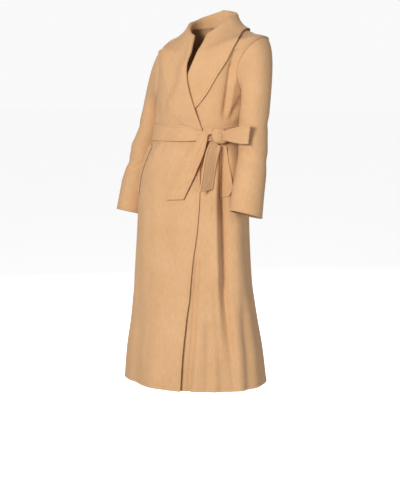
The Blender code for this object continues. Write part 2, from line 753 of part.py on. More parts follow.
KNOT = table(
    ("height", "half_across", "half_deep", "shift", "square"),
    (
        (-0.0240, 0.0120, 0.0075, 0.004, 2.4),
        (-0.0200, 0.0185, 0.0110, 0.003, 2.5),
        (-0.0110, 0.0225, 0.0135, 0.001, 2.6),
        (0.0000, 0.0240, 0.0140, 0.000, 2.6),
        (0.0110, 0.0230, 0.0135, -0.001, 2.6),
        (0.0200, 0.0190, 0.0115, -0.002, 2.5),
        (0.0245, 0.0125, 0.0080, -0.003, 2.4),
    ),
)
KNOT_RINGS = 11
KNOT_SEGMENTS = 20
WRAP_GROOVE = 0.0030     # depth of the groove between the two turns of the wrap
GROOVE_HALF_WIDTH = 0.0035
GROOVE_ACROSS, GROOVE_SLANT = -0.0075, 0.20


def belt_knot(material):
    """The wrapped knot, with the slanted groove between its two turns."""
    middle, across, out = knot_frame()
    low, high = KNOT["keys"][0], KNOT["keys"][-1]
    points = []
    for i in range(KNOT_RINGS):
        height = low + (high - low) * (1 - math.cos(math.pi * i / (KNOT_RINGS - 1))) / 2
        at = read(KNOT, height)
        for j in range(KNOT_SEGMENTS):
            angle = 2 * math.pi * j / KNOT_SEGMENTS
            c, s = math.cos(angle), math.sin(angle)
            reach = (abs(c) ** at["square"] + abs(s) ** at["square"]) ** (-1 / at["square"])
            wide = at["half_across"] * reach * c
            away = (wide - GROOVE_ACROSS - GROOVE_SLANT * height) / GROOVE_HALF_WIDTH
            groove = WRAP_GROOVE * math.exp(-away * away) * max(s, 0.0)
            deep = at["half_deep"] * reach * s - groove
            points.append(middle + across * (wide + at["shift"]) + out * deep + UP * height)
    faces = grid_faces(KNOT_RINGS, KNOT_SEGMENTS, 0, True, True)
    for ring, order in ((0, 1), (KNOT_RINGS - 1, -1)):
        centre = len(points)
        start = ring * KNOT_SEGMENTS
        points.append(np.mean(points[start:start + KNOT_SEGMENTS], axis=0))
        for j in range(KNOT_SEGMENTS):
            k = (j + 1) % KNOT_SEGMENTS
            faces.append((start + j, start + k, centre)[::order])
    return add_object("belt_knot", points, faces, material)


# The bow loop goes out from the knot, folds at its end and comes back behind. Slant is
# how far its upper edge runs ahead of its lower one.
BOW_DIRECTION = (1.0, -0.24, 0.06)
BOW = table(
    ("step", "reach", "depth", "half_width", "slant"),
    (
        (0.0, 0.0181, 0.0045, 0.0135, 0.00),
        (1.0, 0.0380, 0.0080, 0.0165, 0.02),
        (2.0, 0.0680, 0.0100, 0.0225, 0.08),
        (3.0, 0.0950, 0.0095, 0.0265, 0.14),
        (4.0, 0.1170, 0.0070, 0.0285, 0.20),
        (4.5, 0.1250, 0.0038, 0.0285, 0.22),
        (5.0, 0.1275, 0.0000, 0.0285, 0.22),
        (5.5, 0.1250, -0.0038, 0.0285, 0.22),
        (6.0, 0.1170, -0.0066, 0.0285, 0.20),
        (7.0, 0.0950, -0.0080, 0.0265, 0.14),
        (8.0, 0.0680, -0.0070, 0.0225, 0.08),
        (9.0, 0.0380, -0.0050, 0.0165, 0.02),
        (10.0, 0.0191, -0.0020, 0.0135, 0.00),
    ),
)
BOW_STATIONS = 21


def bow_loop(material):
    middle, _, _ = knot_frame()
    along = unit(np.array(BOW_DIRECTION))
    front = unit(np.cross(along, UP))
    middles, sides, half_widths = [], [], []
    for i in range(BOW_STATIONS):
        at = read(BOW, BOW["keys"][-1] * i / (BOW_STATIONS - 1))
        middles.append(middle + along * at["reach"] + front * at["depth"])
        sides.append(np.cross(front, along) + along * at["slant"])
        half_widths.append(at["half_width"])
    ribbon("belt_bow_loop", middles, sides, half_widths, material)


# The tails hang from the knot: places down their middle, how far they stand off
# the coat, and how far each is turned about its length.
TAIL_COLUMNS = ("step", "turn", "rise", "lift", "half_width", "twist")
LONG_TAIL = table(
    TAIL_COLUMNS,
    (
        (0.0, 47.9, 0.8712, 0.0245, 0.0080, 0.0),
        (1.0, 43.2, 0.8706, 0.0220, 0.0095, 0.0),
        (2.0, 39.3, 0.8590, 0.0198, 0.0115, 0.0),
        (3.0, 37.4, 0.8330, 0.0190, 0.0160, 0.0),
        (4.0, 35.0, 0.8100, 0.0175, 0.0195, -2.0),
        (5.0, 31.6, 0.7895, 0.0165, 0.0225, -3.0),
        (6.0, 26.6, 0.7583, 0.0150, 0.0250, -4.0),
        (7.0, 18.2, 0.7037, 0.0120, 0.0275, 0.0),
        (8.0, 8.4, 0.6457, 0.0110, 0.0280, 2.0),
    ),
)
SHORT_TAIL = table(
    TAIL_COLUMNS,
    (
        (0.0, 55.0, 0.8233, 0.0190, 0.0150, -8.0),
        (1.0, 50.6, 0.7980, 0.0270, 0.0240, -34.0),
        (2.0, 48.0, 0.7536, 0.0310, 0.0275, -44.0),
        (3.0, 46.8, 0.7119, 0.0310, 0.0280, -46.0),
        (4.0, 45.6, 0.6780, 0.0300, 0.0280, -46.0),
    ),
)
LONG_STATIONS, SHORT_STATIONS = 25, 14


def tail(name, source, count, material):
    """A hanging end of the belt, with a straight cut end."""
    middles, normals, half_widths, twists = [], [], [], []
    for i in range(count):
        at = read(source, source["keys"][-1] * i / (count - 1))
        normal = normal_of(plain_point, at["turn"], at["rise"])
        middles.append(plain_point(at["turn"], at["rise"]) + normal * at["lift"])
        normals.append(normal)
        half_widths.append(at["half_width"])
        twists.append(math.radians(at["twist"]))
    runs = np.gradient(np.array(middles), axis=0)
    sides = []
    for i in range(count):
        side = unit(np.cross(normals[i], runs[i]))
        facing = unit(np.cross(runs[i], side))
        sides.append(side * math.cos(twists[i]) + facing * math.sin(twists[i]))
    ribbon(name, middles, sides, half_widths, material)


# -------------------------------------------------------------- pocket welts

WELT = table(
    ("along", "front_turn", "front_rise", "back_turn", "back_rise"),
    (
        (0.00, 60.5, 0.648, 69.4, 0.660),
        (0.15, 60.3, 0.672, 72.6, 0.684),
        (0.40, 60.0, 0.715, 71.4, 0.716),
        (0.70, 59.5, 0.765, 69.3, 0.757),
        (1.00, 58.8, 0.816, 66.8, 0.820),
    ),
)
WELT_ROWS = 10
WELT_COLUMNS = 5
WELT_WALL = 0.0024
WELT_OPEN = 0.0025       # how far the opening edge stands off


def pocket(name, side, front, grids, material):
    """A slanted welt, open along its edge towards the side seam."""
    outer, inner = [], []
    for i in range(WELT_ROWS):
        at = read(WELT, i / (WELT_ROWS - 1))
        outside, inside = [], []
        for j in range(WELT_COLUMNS):
            f = j / (WELT_COLUMNS - 1)
            turn = side * (at["front_turn"] + (at["back_turn"] - at["front_turn"]) * f)
            rise = at["front_rise"] + (at["back_rise"] - at["front_rise"]) * f
            lift = TRIM_GAP * 1.3 + WELT_OPEN * f * f
            inside.append(on_panel(grids, front, turn, rise, lift))
            outside.append(on_panel(grids, front, turn, rise, lift + WELT_WALL))
        inner.append(inside)
        outer.append(outside)
    return add_wall(name, outer, inner, material, flip=side < 0)


def build():
    for old in list(bpy.data.objects):
        bpy.data.objects.remove(old, do_unlink=True)
    wool = make_material("camel_wool", (0.66, 0.43, 0.25), 0.92)
    grids = add_panels(wool)
    sleeve("left_sleeve", 1, LEFT_SLEEVE, LEFT_SLEEVE_FOLDS, wool)
    sleeve("right_sleeve", -1, RIGHT_SLEEVE, RIGHT_SLEEVE_FOLDS, wool)
    collar_half("collar_left", 1, "left_front", LEFT_START, LEFT_STATIONS, grids, wool)
    collar_half("collar_right", -1, "right_front", RIGHT_START, RIGHT_STATIONS, grids, wool)
    pocket("left_pocket", 1, "left_front", grids, wool)
    pocket("right_pocket", -1, "right_front", grids, wool)
    belt_band(wool)
    belt_knot(wool)
    bow_loop(wool)
    tail("belt_tail_long", LONG_TAIL, LONG_STATIONS, wool)
    tail("belt_tail_short", SHORT_TAIL, SHORT_STATIONS, wool)


build()
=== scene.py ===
import math

import bpy
import numpy as np
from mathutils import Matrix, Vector


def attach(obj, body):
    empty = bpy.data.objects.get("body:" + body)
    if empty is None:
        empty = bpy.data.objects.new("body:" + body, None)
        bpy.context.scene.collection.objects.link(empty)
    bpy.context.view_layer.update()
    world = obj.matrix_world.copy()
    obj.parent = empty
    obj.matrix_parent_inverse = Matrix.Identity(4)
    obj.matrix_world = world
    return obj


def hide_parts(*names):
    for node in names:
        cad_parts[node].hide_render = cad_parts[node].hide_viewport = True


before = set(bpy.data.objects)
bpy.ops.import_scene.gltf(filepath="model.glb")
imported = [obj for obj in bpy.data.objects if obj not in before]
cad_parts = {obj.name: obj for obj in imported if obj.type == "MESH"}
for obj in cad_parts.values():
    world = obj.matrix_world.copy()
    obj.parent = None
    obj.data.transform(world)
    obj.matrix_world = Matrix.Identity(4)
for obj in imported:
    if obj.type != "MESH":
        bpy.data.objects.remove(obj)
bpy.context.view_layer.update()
print("frame loaded")

# Camel wrap coat. A place on its cloth is a turn, in degrees round the body from the
# front centre to the wearer's left, and a rise, in metres up the cloth from the hem.
cloth = {
    "wall": 0.0026,          # double-faced wool
    "beltWall": 0.0030,
    "beltHalfWidth": 0.0270,
    "seamGap": 0.0003,
    "layerGap": 0.0014,      # between the two fronts
    "trimGap": 0.0012,       # under collar, welts and belt
    "neckRise": 1.305,
    "shoulderRise": 1.166,
    "underarmRise": 0.974,
    "waistRise": 0.8615,
    "armholeHalfTurn": 27.0,
    "shoulderTilt": 0.100,   # the left shoulder is higher by this much of its distance
    "tiltBand": (-0.36, -0.10, 0.02, 0.10),      # heights where the tilt sets in and ends
    "stillBand": (0.780, 0.835, 0.888, 0.930),   # rises where the belt holds the cloth still
    "underReach": (26.0, 4.0),   # degrees before the under front's edge where the top one lifts
    "cell": 0.0068,          # width of the mesh's faces
}


# From low to high as f goes from 0 to 1, with given slopes at both ends.
def softStep(low, high, leave, arrive, f):
    return (low * (1 + 2 * f) * (1 - f) ** 2 + leave * f * (1 - f) ** 2
            + high * f * f * (3 - 2 * f) + arrive * f * f * (f - 1))


# Rows of numbers that read() joins by a line that never overshoots them.
def table(columns, rows):
    data = np.array(rows, dtype=float)
    steps = np.diff(data, axis=0)
    rates = steps / steps[:, :1]
    slopes = np.zeros_like(data)
    slopes[0], slopes[-1] = rates[0], rates[-1]
    product = rates[:-1] * rates[1:]
    total = np.where(product > 0, rates[:-1] + rates[1:], 1.0)
    slopes[1:-1] = np.where(product > 0, 2 * product / total, 0.0)
    return {"columns": columns, "keys": data[:, 0], "data": data, "slopes": slopes}


def read(source, key):
    keys = source["keys"]
    key = np.clip(np.asarray(key, dtype=float), keys[0], keys[-1])
    i = np.clip(np.searchsorted(keys, key, side="right") - 1, 0, len(keys) - 2)
    span = (keys[i + 1] - keys[i])[..., None]
    f = (key - keys[i])[..., None] / span
    low, high = source["data"][i], source["data"][i + 1]
    leave, arrive = source["slopes"][i] * span, source["slopes"][i + 1] * span
    values = softStep(low, high, leave, arrive, f)
    return {name: values[..., n] for n, name in enumerate(source["columns"])}


def named(columns, rows):
    return [dict(zip(columns, row)) for row in rows]


def smooth(value, low, high):
    f = np.clip((value - low) / (high - low), 0.0, 1.0)
    return f * f * (3 - 2 * f)


# Nothing up to the band's first value, whole between the middle two, nothing past the last.
def plateau(value, band):
    return smooth(value, band[0], band[1]) * (1 - smooth(value, band[2], band[3]))


# One at a distance of 0, fading on both sides.
def hump(away):
    return np.exp(-away * away)


def between(low, high, f):
    return low + (high - low) * f


def unit(vectors):
    return vectors / np.linalg.norm(vectors, axis=-1, keepdims=True)


def vector(x, y, z):
    return np.stack(np.broadcast_arrays(x, y, z), axis=-1).astype(float)


def turnBetween(first, second):
    return (first - second + 180.0) % 360.0 - 180.0


def addObject(name, data):
    thing = bpy.data.objects.new(name, data)
    bpy.context.scene.collection.objects.link(thing)
    return thing


up = np.array((0.0, 0.0, 1.0))


# The body's cross sections, from the hem up to the neck.
rings = table(
    ("rise", "sideZ", "frontDrop", "backDrop", "halfWidth", "front", "back", "square"),
    (
        (0.000, -1.1960, 0.000, 0.000, 0.2560, 0.199, 0.192, 2.10),
        (0.110, -1.0880, 0.000, 0.000, 0.2460, 0.188, 0.182, 2.10),
        (0.200, -1.0000, 0.000, 0.000, 0.2320, 0.175, 0.171, 2.10),
        (0.285, -0.9180, 0.000, 0.000, 0.2210, 0.165, 0.161, 2.10),
        (0.345, -0.8600, 0.000, 0.000, 0.2140, 0.158, 0.155, 2.10),
        (0.490, -0.7190, 0.000, 0.000, 0.2050, 0.150, 0.149, 2.10),
        (0.615, -0.5940, 0.000, 0.000, 0.1990, 0.145, 0.149, 2.10),
        (0.700, -0.5090, 0.000, 0.000, 0.1940, 0.140, 0.146, 2.10),
        (0.748, -0.4610, 0.000, 0.000, 0.1880, 0.135, 0.138, 2.10),
        (0.798, -0.4110, 0.000, 0.000, 0.1760, 0.127, 0.125, 2.10),
        (0.834, -0.3750, 0.000, 0.000, 0.1640, 0.117, 0.113, 2.10),
        (0.860, -0.3490, 0.000, 0.000, 0.1620, 0.115, 0.110, 2.10),
        (0.888, -0.3210, 0.000, 0.000, 0.1640, 0.117, 0.113, 2.12),
        (0.922, -0.2870, 0.000, 0.000, 0.1670, 0.123, 0.121, 2.15),
        (0.974, -0.2350, 0.002, 0.002, 0.1690, 0.129, 0.128, 2.20),
        (1.066, -0.1430, 0.012, 0.010, 0.1790, 0.129, 0.124, 2.35),
        (1.166, -0.0530, 0.042, 0.030, 0.1950, 0.116, 0.108, 2.60),
        (1.216, -0.0330, 0.046, 0.022, 0.1480, 0.106, 0.092, 2.40),
        (1.305, 0.0080, 0.052, 0.000, 0.0740, 0.088, 0.066, 2.10),
    ),
)

# The wearer's stance moves the cloth aside and forward at each height.
leanTable = table(
    ("z", "across", "forward"),
    (
        (-1.196, -0.049, -0.035),
        (-1.000, -0.053, -0.037),
        (-0.800, -0.057, -0.040),
        (-0.560, -0.056, -0.040),
        (-0.460, -0.051, -0.036),
        (-0.350, -0.041, -0.025),
        (-0.270, -0.030, -0.017),
        (-0.170, -0.017, -0.009),
        (-0.045, 0.000, 0.000),
        (0.100, 0.004, 0.000),
    ),
)

# Turn of the right front's edge; the left front's is its mirror.
frontEdgeTable = table(
    ("rise", "turn"),
    (
        (0.000, 17.2),
        (0.110, 19.0),
        (0.180, 20.9),
        (0.250, 23.4),
        (0.315, 26.8),
        (0.380, 28.8),
        (0.450, 31.2),
        (0.515, 34.4),
        (0.580, 36.6),
        (0.673, 38.4),
        (0.780, 36.5),
        (0.866, 32.4),
        (0.893, 26.8),
        (0.934, 18.0),
        (0.985, 8.2),
        (1.040, -0.4),
        (1.110, -6.5),
        (1.200, -11.8),
        (1.305, -21.0),
    ),
)

# The largest folds. Heights are outwards, a trough's is negative.
folds = named(
    ("lowTurn", "lowRise", "highTurn", "highRise", "halfTurn", "height", "fade"),
    (
        (52.5, 0.300, 48.5, 0.833, 6.0, 0.0100, 0.16),
        (62.0, 0.300, 61.5, 0.833, 6.5, -0.0140, 0.20),
        (53.0, 0.000, 61.0, 0.400, 6.5, -0.0060, 0.12),
        (78.0, 0.250, 80.0, 0.600, 8.0, 0.0040, 0.12),
        (39.0, 0.000, 46.0, 0.240, 7.0, -0.0045, 0.08),
        (68.0, 0.000, 70.0, 0.300, 7.0, 0.0050, 0.12),
        (60.0, 0.890, 54.0, 1.090, 6.5, -0.0080, 0.05),
        (64.0, 0.890, 76.0, 0.960, 6.0, -0.0050, 0.03),
        (-12.0, 0.000, -8.0, 0.330, 9.0, 0.0045, 0.14),
        (-36.0, 0.000, -30.0, 0.420, 9.0, -0.0045, 0.16),
        (-60.0, 0.000, -54.0, 0.520, 10.0, 0.0050, 0.18),
        (-38.0, 0.740, -40.0, 0.833, 8.0, 0.0040, 0.06),
        (-62.0, 0.720, -60.0, 0.833, 9.0, -0.0045, 0.06),
        (-50.0, 0.890, -56.0, 0.980, 8.0, -0.0045, 0.04),
        (120.0, 0.620, 114.0, 0.833, 9.5, -0.0060, 0.10),
        (142.0, 0.540, 140.0, 0.833, 9.5, 0.0060, 0.12),
        (164.0, 0.600, 163.0, 0.833, 9.5, -0.0065, 0.10),
        (186.0, 0.420, 185.0, 0.833, 9.5, 0.0070, 0.14),
        (208.0, 0.560, 207.0, 0.833, 9.5, -0.0060, 0.10),
        (232.0, 0.580, 234.0, 0.833, 10.0, 0.0055, 0.10),
        (130.0, 0.890, 124.0, 1.030, 9.5, -0.0060, 0.06),
        (156.0, 0.890, 148.0, 1.050, 9.5, 0.0050, 0.06),
        (188.0, 0.890, 182.0, 1.060, 10.0, -0.0050, 0.07),
        (228.0, 0.890, 232.0, 1.020, 9.5, -0.0055, 0.05),
        (124.0, 0.000, 128.0, 0.440, 10.0, 0.0080, 0.20),
        (147.0, 0.000, 150.0, 0.400, 9.5, -0.0075, 0.18),
        (170.0, 0.000, 168.0, 0.460, 10.0, 0.0080, 0.20),
        (194.0, 0.000, 190.0, 0.380, 10.0, -0.0080, 0.18),
        (218.0, 0.000, 213.0, 0.440, 10.0, 0.0080, 0.20),
        (241.0, 0.000, 236.0, 0.400, 9.5, -0.0060, 0.18),
    ),
)
foldEnd = {
    "clear": 0.012,           # metres below a fold's top that stay plain
    "fold": 0.25,             # shares of the fade that a fold and a crease take at the top
    "crease": 0.4,
    "hemCrease": 0.1,         # a crease that runs out through the hem keeps its depth
}

# Finer creases, in metres: half is half a crease's width, skew makes one flank steeper.
creases = named(
    ("lowTurn", "lowRise", "highTurn", "highRise", "half", "height", "fade", "skew"),
    (
        # left front: the sharp fold that hangs from the knot, and what lies beside it
        (54.5, -0.200, 56.7, 0.822, 0.0140, 0.0150, 0.66, 0.35),
        (62.0, -0.250, 64.3, 0.826, 0.0120, -0.0200, 0.70, -0.20),
        (22.5, 0.000, 36.0, 0.480, 0.0100, -0.0100, 0.16, 0.30),
        (66.5, 0.560, 65.5, 0.828, 0.0080, 0.0024, 0.07, 0.20),
        (70.5, 0.640, 68.0, 0.830, 0.0070, -0.0024, 0.06, -0.30),
        (74.0, 0.200, 77.0, 0.640, 0.0170, 0.0040, 0.14, 0.30),
        (54.0, 0.000, 59.0, 0.440, 0.0200, -0.0070, 0.48, -0.30),
        (40.5, 0.000, 46.5, 0.340, 0.0165, -0.0060, 0.44, 0.20),
        (47.0, 0.000, 51.5, 0.520, 0.0180, 0.0045, 0.60, 0.10),
        (74.5, 0.000, 81.0, 0.390, 0.0170, -0.0062, 0.50, 0.20),
        (83.0, 0.000, 84.0, 0.480, 0.0200, 0.0040, 0.56, 0.00),
        (65.5, 0.000, 70.0, 0.290, 0.0180, 0.0036, 0.40, 0.10),
        (29.0, 0.000, 34.0, 0.180, 0.0120, 0.0018, 0.07, 0.10),
        # left front above the belt
        (59.5, 0.892, 54.0, 1.140, 0.0110, -0.0100, 0.06, 0.35),
        (64.5, 0.892, 62.0, 1.030, 0.0090, 0.0060, 0.05, -0.20),
        (65.5, 0.892, 75.5, 0.985, 0.0100, -0.0034, 0.05, 0.10),
        (40.5, 0.690, 42.5, 0.838, 0.0090, -0.0120, 0.06, -0.20),
        (50.0, 0.892, 44.0, 0.975, 0.0090, -0.0015, 0.04, 0.10),
        # right front: gathers under the belt and soft runs to the hem
        (-52.0, 0.770, -52.8, 0.838, 0.0050, -0.0026, 0.03, 0.10),
        (-43.0, 0.745, -43.4, 0.838, 0.0060, -0.0022, 0.04, -0.10),
        (-28.0, 0.790, -28.6, 0.838, 0.0060, -0.0014, 0.02, 0.10),
        (-9.0, 0.800, -9.6, 0.838, 0.0060, -0.0012, 0.02, 0.00),
        (-24.0, 0.000, -21.0, 0.240, 0.0170, -0.0016, 0.10, 0.10),
        (-3.0, 0.000, -1.0, 0.190, 0.0140, -0.0013, 0.08, -0.10),
        (-48.0, 0.000, -45.0, 0.300, 0.0170, 0.0016, 0.12, 0.10),
        (-73.0, 0.000, -70.0, 0.360, 0.0180, -0.0020, 0.13, 0.00),
        (-58.0, 0.893, -66.0, 0.985, 0.0080, -0.0018, 0.03, 0.20),
        (-74.0, 0.893, -80.0, 0.960, 0.0080, -0.0018, 0.03, -0.10),
        # sides and back: gathers at the belt, blousing and the skirt's runs
        (98.0, 0.700, 97.0, 0.838, 0.0070, -0.0026, 0.05, 0.10),
        (109.0, 0.760, 108.0, 0.838, 0.0060, -0.0022, 0.03, -0.10),
        (131.0, 0.690, 129.0, 0.838, 0.0080, -0.0028, 0.06, 0.20),
        (152.0, 0.740, 152.5, 0.838, 0.0070, -0.0024, 0.04, -0.20),
        (175.0, 0.700, 175.0, 0.838, 0.0080, -0.0027, 0.06, 0.10),
        (197.0, 0.760, 196.5, 0.838, 0.0060, -0.0020, 0.03, 0.10),
        (220.0, 0.710, 221.0, 0.838, 0.0080, -0.0027, 0.05, -0.20),
        (247.0, 0.750, 248.0, 0.838, 0.0070, -0.0024, 0.04, 0.10),
        (261.0, 0.720, 261.0, 0.838, 0.0070, -0.0022, 0.05, 0.00),
        (112.0, 0.892, 106.0, 0.985, 0.0090, -0.0026, 0.04, 0.20),
        (143.0, 0.892, 136.0, 1.010, 0.0090, -0.0024, 0.05, -0.10),
        (170.0, 0.892, 166.0, 1.000, 0.0100, 0.0018, 0.05, 0.10),
        (205.0, 0.892, 209.0, 1.020, 0.0090, -0.0024, 0.05, 0.20),
        (246.0, 0.892, 254.0, 0.985, 0.0090, -0.0026, 0.04, -0.10),
        (135.0, 0.000, 139.0, 0.320, 0.0160, -0.0022, 0.13, 0.20),
        (159.0, 0.000, 160.0, 0.280, 0.0160, 0.0018, 0.11, -0.10),
        (182.0, 0.000, 179.0, 0.350, 0.0170, -0.0020, 0.13, 0.10),
        (206.0, 0.000, 202.0, 0.270, 0.0160, 0.0020, 0.11, 0.10),
        (231.0, 0.000, 226.0, 0.330, 0.0170, 0.0022, 0.13, -0.20),
    ),
)

# How far the right front stands off where it laps over the left one.
underLayers = table(
    ("rise", "lift"),
    (
        (0.000, 0.0170),
        (0.200, 0.0135),
        (0.400, 0.0095),
        (0.620, 0.0060),
        (0.760, cloth["wall"] + cloth["layerGap"]),
        (0.889, cloth["wall"] + cloth["layerGap"]),
        (0.936, 0.0105),
        (1.030, 0.0135),
        (1.090, 0.0135),
        (1.180, 0.0),
    ),
)

# Slow unevenness of the hanging cloth: waves round and up, and how far out.
unevenness = named(
    ("round", "rise", "phase", "height"),
    (
        (5.0, 9.0, 0.4, 0.00045),
        (9.0, -6.0, 2.1, 0.00040),
        (13.0, 15.0, 4.0, 0.00028),
        (21.0, 4.0, 1.2, 0.00022),
    ),
)


def foldHeight(turn, rise):
    height = np.zeros(np.broadcast(turn, rise).shape)
    for fold in folds:
        low, high = fold["lowRise"], fold["highRise"]
        along = (rise - low) / (high - low)
        middle = between(fold["lowTurn"], fold["highTurn"], along)
        away = turnBetween(turn, middle) / fold["halfTurn"]
        start = 1.0 if low == 0.0 else smooth(rise, low, low + fold["fade"])
        fadeFrom = high - foldEnd["clear"] - fold["fade"] * foldEnd["fold"]
        bump = fold["height"] * hump(away) * start * (1.0 - smooth(rise, fadeFrom, high))
        height = height + np.where((rise >= low) & (rise <= high), bump, 0.0)
    return height


def creaseHeight(turn, rise):
    height = np.zeros(np.broadcast(turn, rise).shape)
    ring = read(rings, rise)
    perDegree = np.radians(ring["halfWidth"] + ring["front"]) / 2
    for crease in creases:
        low, high = crease["lowRise"], crease["highRise"]
        along = (rise - low) / (high - low)
        middle = between(crease["lowTurn"], crease["highTurn"], along)
        away = turnBetween(turn, middle) * perDegree
        half = crease["half"] * (1 + crease["skew"] * np.sign(away))
        start = 1.0 if low == 0.0 else smooth(rise, low, low + crease["fade"])
        share = foldEnd["hemCrease"] if low < 0 else foldEnd["crease"]
        end = 1.0 - smooth(rise, high - crease["fade"] * share, high)
        bump = crease["height"] * hump(away / half) * start * end
        height = height + np.where((rise >= low) & (rise <= high), bump, 0.0)
    atBelt = plateau(rise, cloth["stillBand"])
    for wave in unevenness:
        angle = np.radians(turn) * wave["round"] + rise * wave["rise"] + wave["phase"]
        height = height + wave["height"] * np.sin(angle) * (1 - atBelt)
    return height


def lean(x, y, z):
    shift = read(leanTable, z)
    tilt = cloth["shoulderTilt"] * plateau(z, cloth["tiltBand"])
    return vector(x + shift["across"], y + shift["forward"], z + tilt * x)


# How far an oval with squared corners reaches in a direction; a power of 2 is an ellipse.
def ovalReach(across, ahead, halfAcross, halfAhead, power):
    reach = np.abs(across / halfAcross) ** power + np.abs(ahead / halfAhead) ** power
    return reach ** (-1 / power)


def plainPoint(turn, rise):
    ring = read(rings, rise)
    angle = np.radians(turn)
    across, ahead = np.sin(angle), np.cos(angle)
    depth = np.where(ahead > 0, ring["front"], ring["back"])
    drop = np.where(ahead > 0, ring["frontDrop"], ring["backDrop"])
    power = ring["square"]
    reach = ovalReach(across, ahead, ring["halfWidth"], depth, power)
    return lean(reach * across, -reach * ahead, ring["sideZ"] - drop * ahead * ahead)


probe = {"rise": 0.003, "turn": 0.5}     # how far to each side a slope is measured


def plainNormal(turn, rise):
    low = np.maximum(rise - probe["rise"], 0.0)
    high = np.minimum(rise + probe["rise"], cloth["neckRise"])
    around = plainPoint(turn + probe["turn"], rise) - plainPoint(turn - probe["turn"], rise)
    return unit(np.cross(around, plainPoint(turn, high) - plainPoint(turn, low)))


def frontEdge(rise):
    return read(frontEdgeTable, rise)["turn"]


def topLayerLift(turn, rise):
    under = -np.maximum(frontEdge(rise), 0.0)
    far, near = cloth["underReach"]
    return read(underLayers, rise)["lift"] * smooth(turn, under - far, under - near)


def coatPoint(turn, rise, lift=0.0, onTop=False):
    turn, rise = np.broadcast_arrays(np.asarray(turn, float), np.asarray(rise, float))
    out = foldHeight(turn, rise) + creaseHeight(turn, rise) + lift
    if onTop:
        out = out + topLayerLift(turn, rise)
    return plainPoint(turn, rise) + plainNormal(turn, rise) * out[..., None]


def armholeHalfTurn(rise):
    middle = (cloth["shoulderRise"] + cloth["underarmRise"]) / 2
    half = (cloth["shoulderRise"] - cloth["underarmRise"]) / 2
    inside = 1 - ((rise - middle) / half) ** 2
    return cloth["armholeHalfTurn"] * np.sqrt(np.maximum(inside, 0.0))


# Metres in from a felled edge, half width, and how far the cloth stands there.
finishedEdge = {
    "roll": (0.0034, 0.0022, 0.0009),
    "groove": (0.0074, 0.0018, -0.0011),
    "rows": (0.0, 0.0011, 0.0023, 0.0035, 0.0048, 0.0061, 0.0074, 0.0087, 0.0105, 0.0135),
    "fullWidth": 0.05,        # in a narrower piece the rows lie closer
    "bulge": 0.42,            # how far the rounded edge stands out, in thicknesses of cloth
}
seamDip = {"half": 0.0016, "height": -0.0005}
stitch = {
    "row": 6,                 # the edge's row of points that the sewing lies in, in its groove
    "spacing": 0.0060,
    "length": 0.0026,
    "width": 0.00050,
    "height": 0.00030,
    "lift": 0.2,              # share of the height that the thread stands off the cloth
    "uneven": (0.85, 1.15),   # lengths of handmade stitches vary by this much
    "seed": 3,
}


def felledEdge(distance):
    lift = 0.0
    for place, half, height in (finishedEdge["roll"], finishedEdge["groove"]):
        lift = lift + height * hump((distance - place) / half)
    return lift


def seamEdge(distance):
    return seamDip["height"] * hump(distance / seamDip["half"])


# Distances across a width, close together at the edges that are worked.
def spread(width, count, start=True, end=True):
    fine = np.array(finishedEdge["rows"]) * min(1.0, width / finishedEdge["fullWidth"])
    head = fine if start else fine[:1]
    tail = width - fine[::-1] if end else np.array((width,))
    plain = max(count - len(head) - len(tail), 1)
    return np.concatenate((head, np.linspace(head[-1], tail[0], plain + 2)[1:-1], tail))


def gridNormals(points, closed=False):
    if closed:
        along = np.roll(points, -1, axis=1) - np.roll(points, 1, axis=1)
    else:
        along = np.gradient(points, axis=1)
    return unit(np.cross(along, np.gradient(points, axis=0)))


# Metres across and along the cloth.
def clothUv(points, closed):
    steps = np.linalg.norm(np.diff(points, axis=1), axis=2)
    across = np.concatenate((np.zeros((len(points), 1)), np.cumsum(steps, axis=1)), axis=1)
    rise = np.linalg.norm(np.diff(points, axis=0), axis=2).mean(axis=1)
    along = np.concatenate(((0.0,), np.cumsum(rise)))[:, None] + np.zeros_like(across)
    uv = np.stack((across - across[:, -1:] / 2, along), axis=-1)
    last = uv[:, -1:] + np.array((1.0, 0.0)) * steps[:, -1:, None] if closed else uv[:, :0]
    return np.concatenate((uv, last), axis=1)


def clothPiece(name, points, faces, uvs):
    mesh = bpy.data.meshes.new(name)
    mesh.from_pydata(points.tolist(), [], faces)
    layer = mesh.uv_layers.new(name="cloth")
    layer.data.foreach_set("uv", np.array(uvs, dtype=np.float32).reshape(-1))
    mesh.shade_smooth()
    mesh.materials.append(woolCloth)
    return addObject(name, mesh)


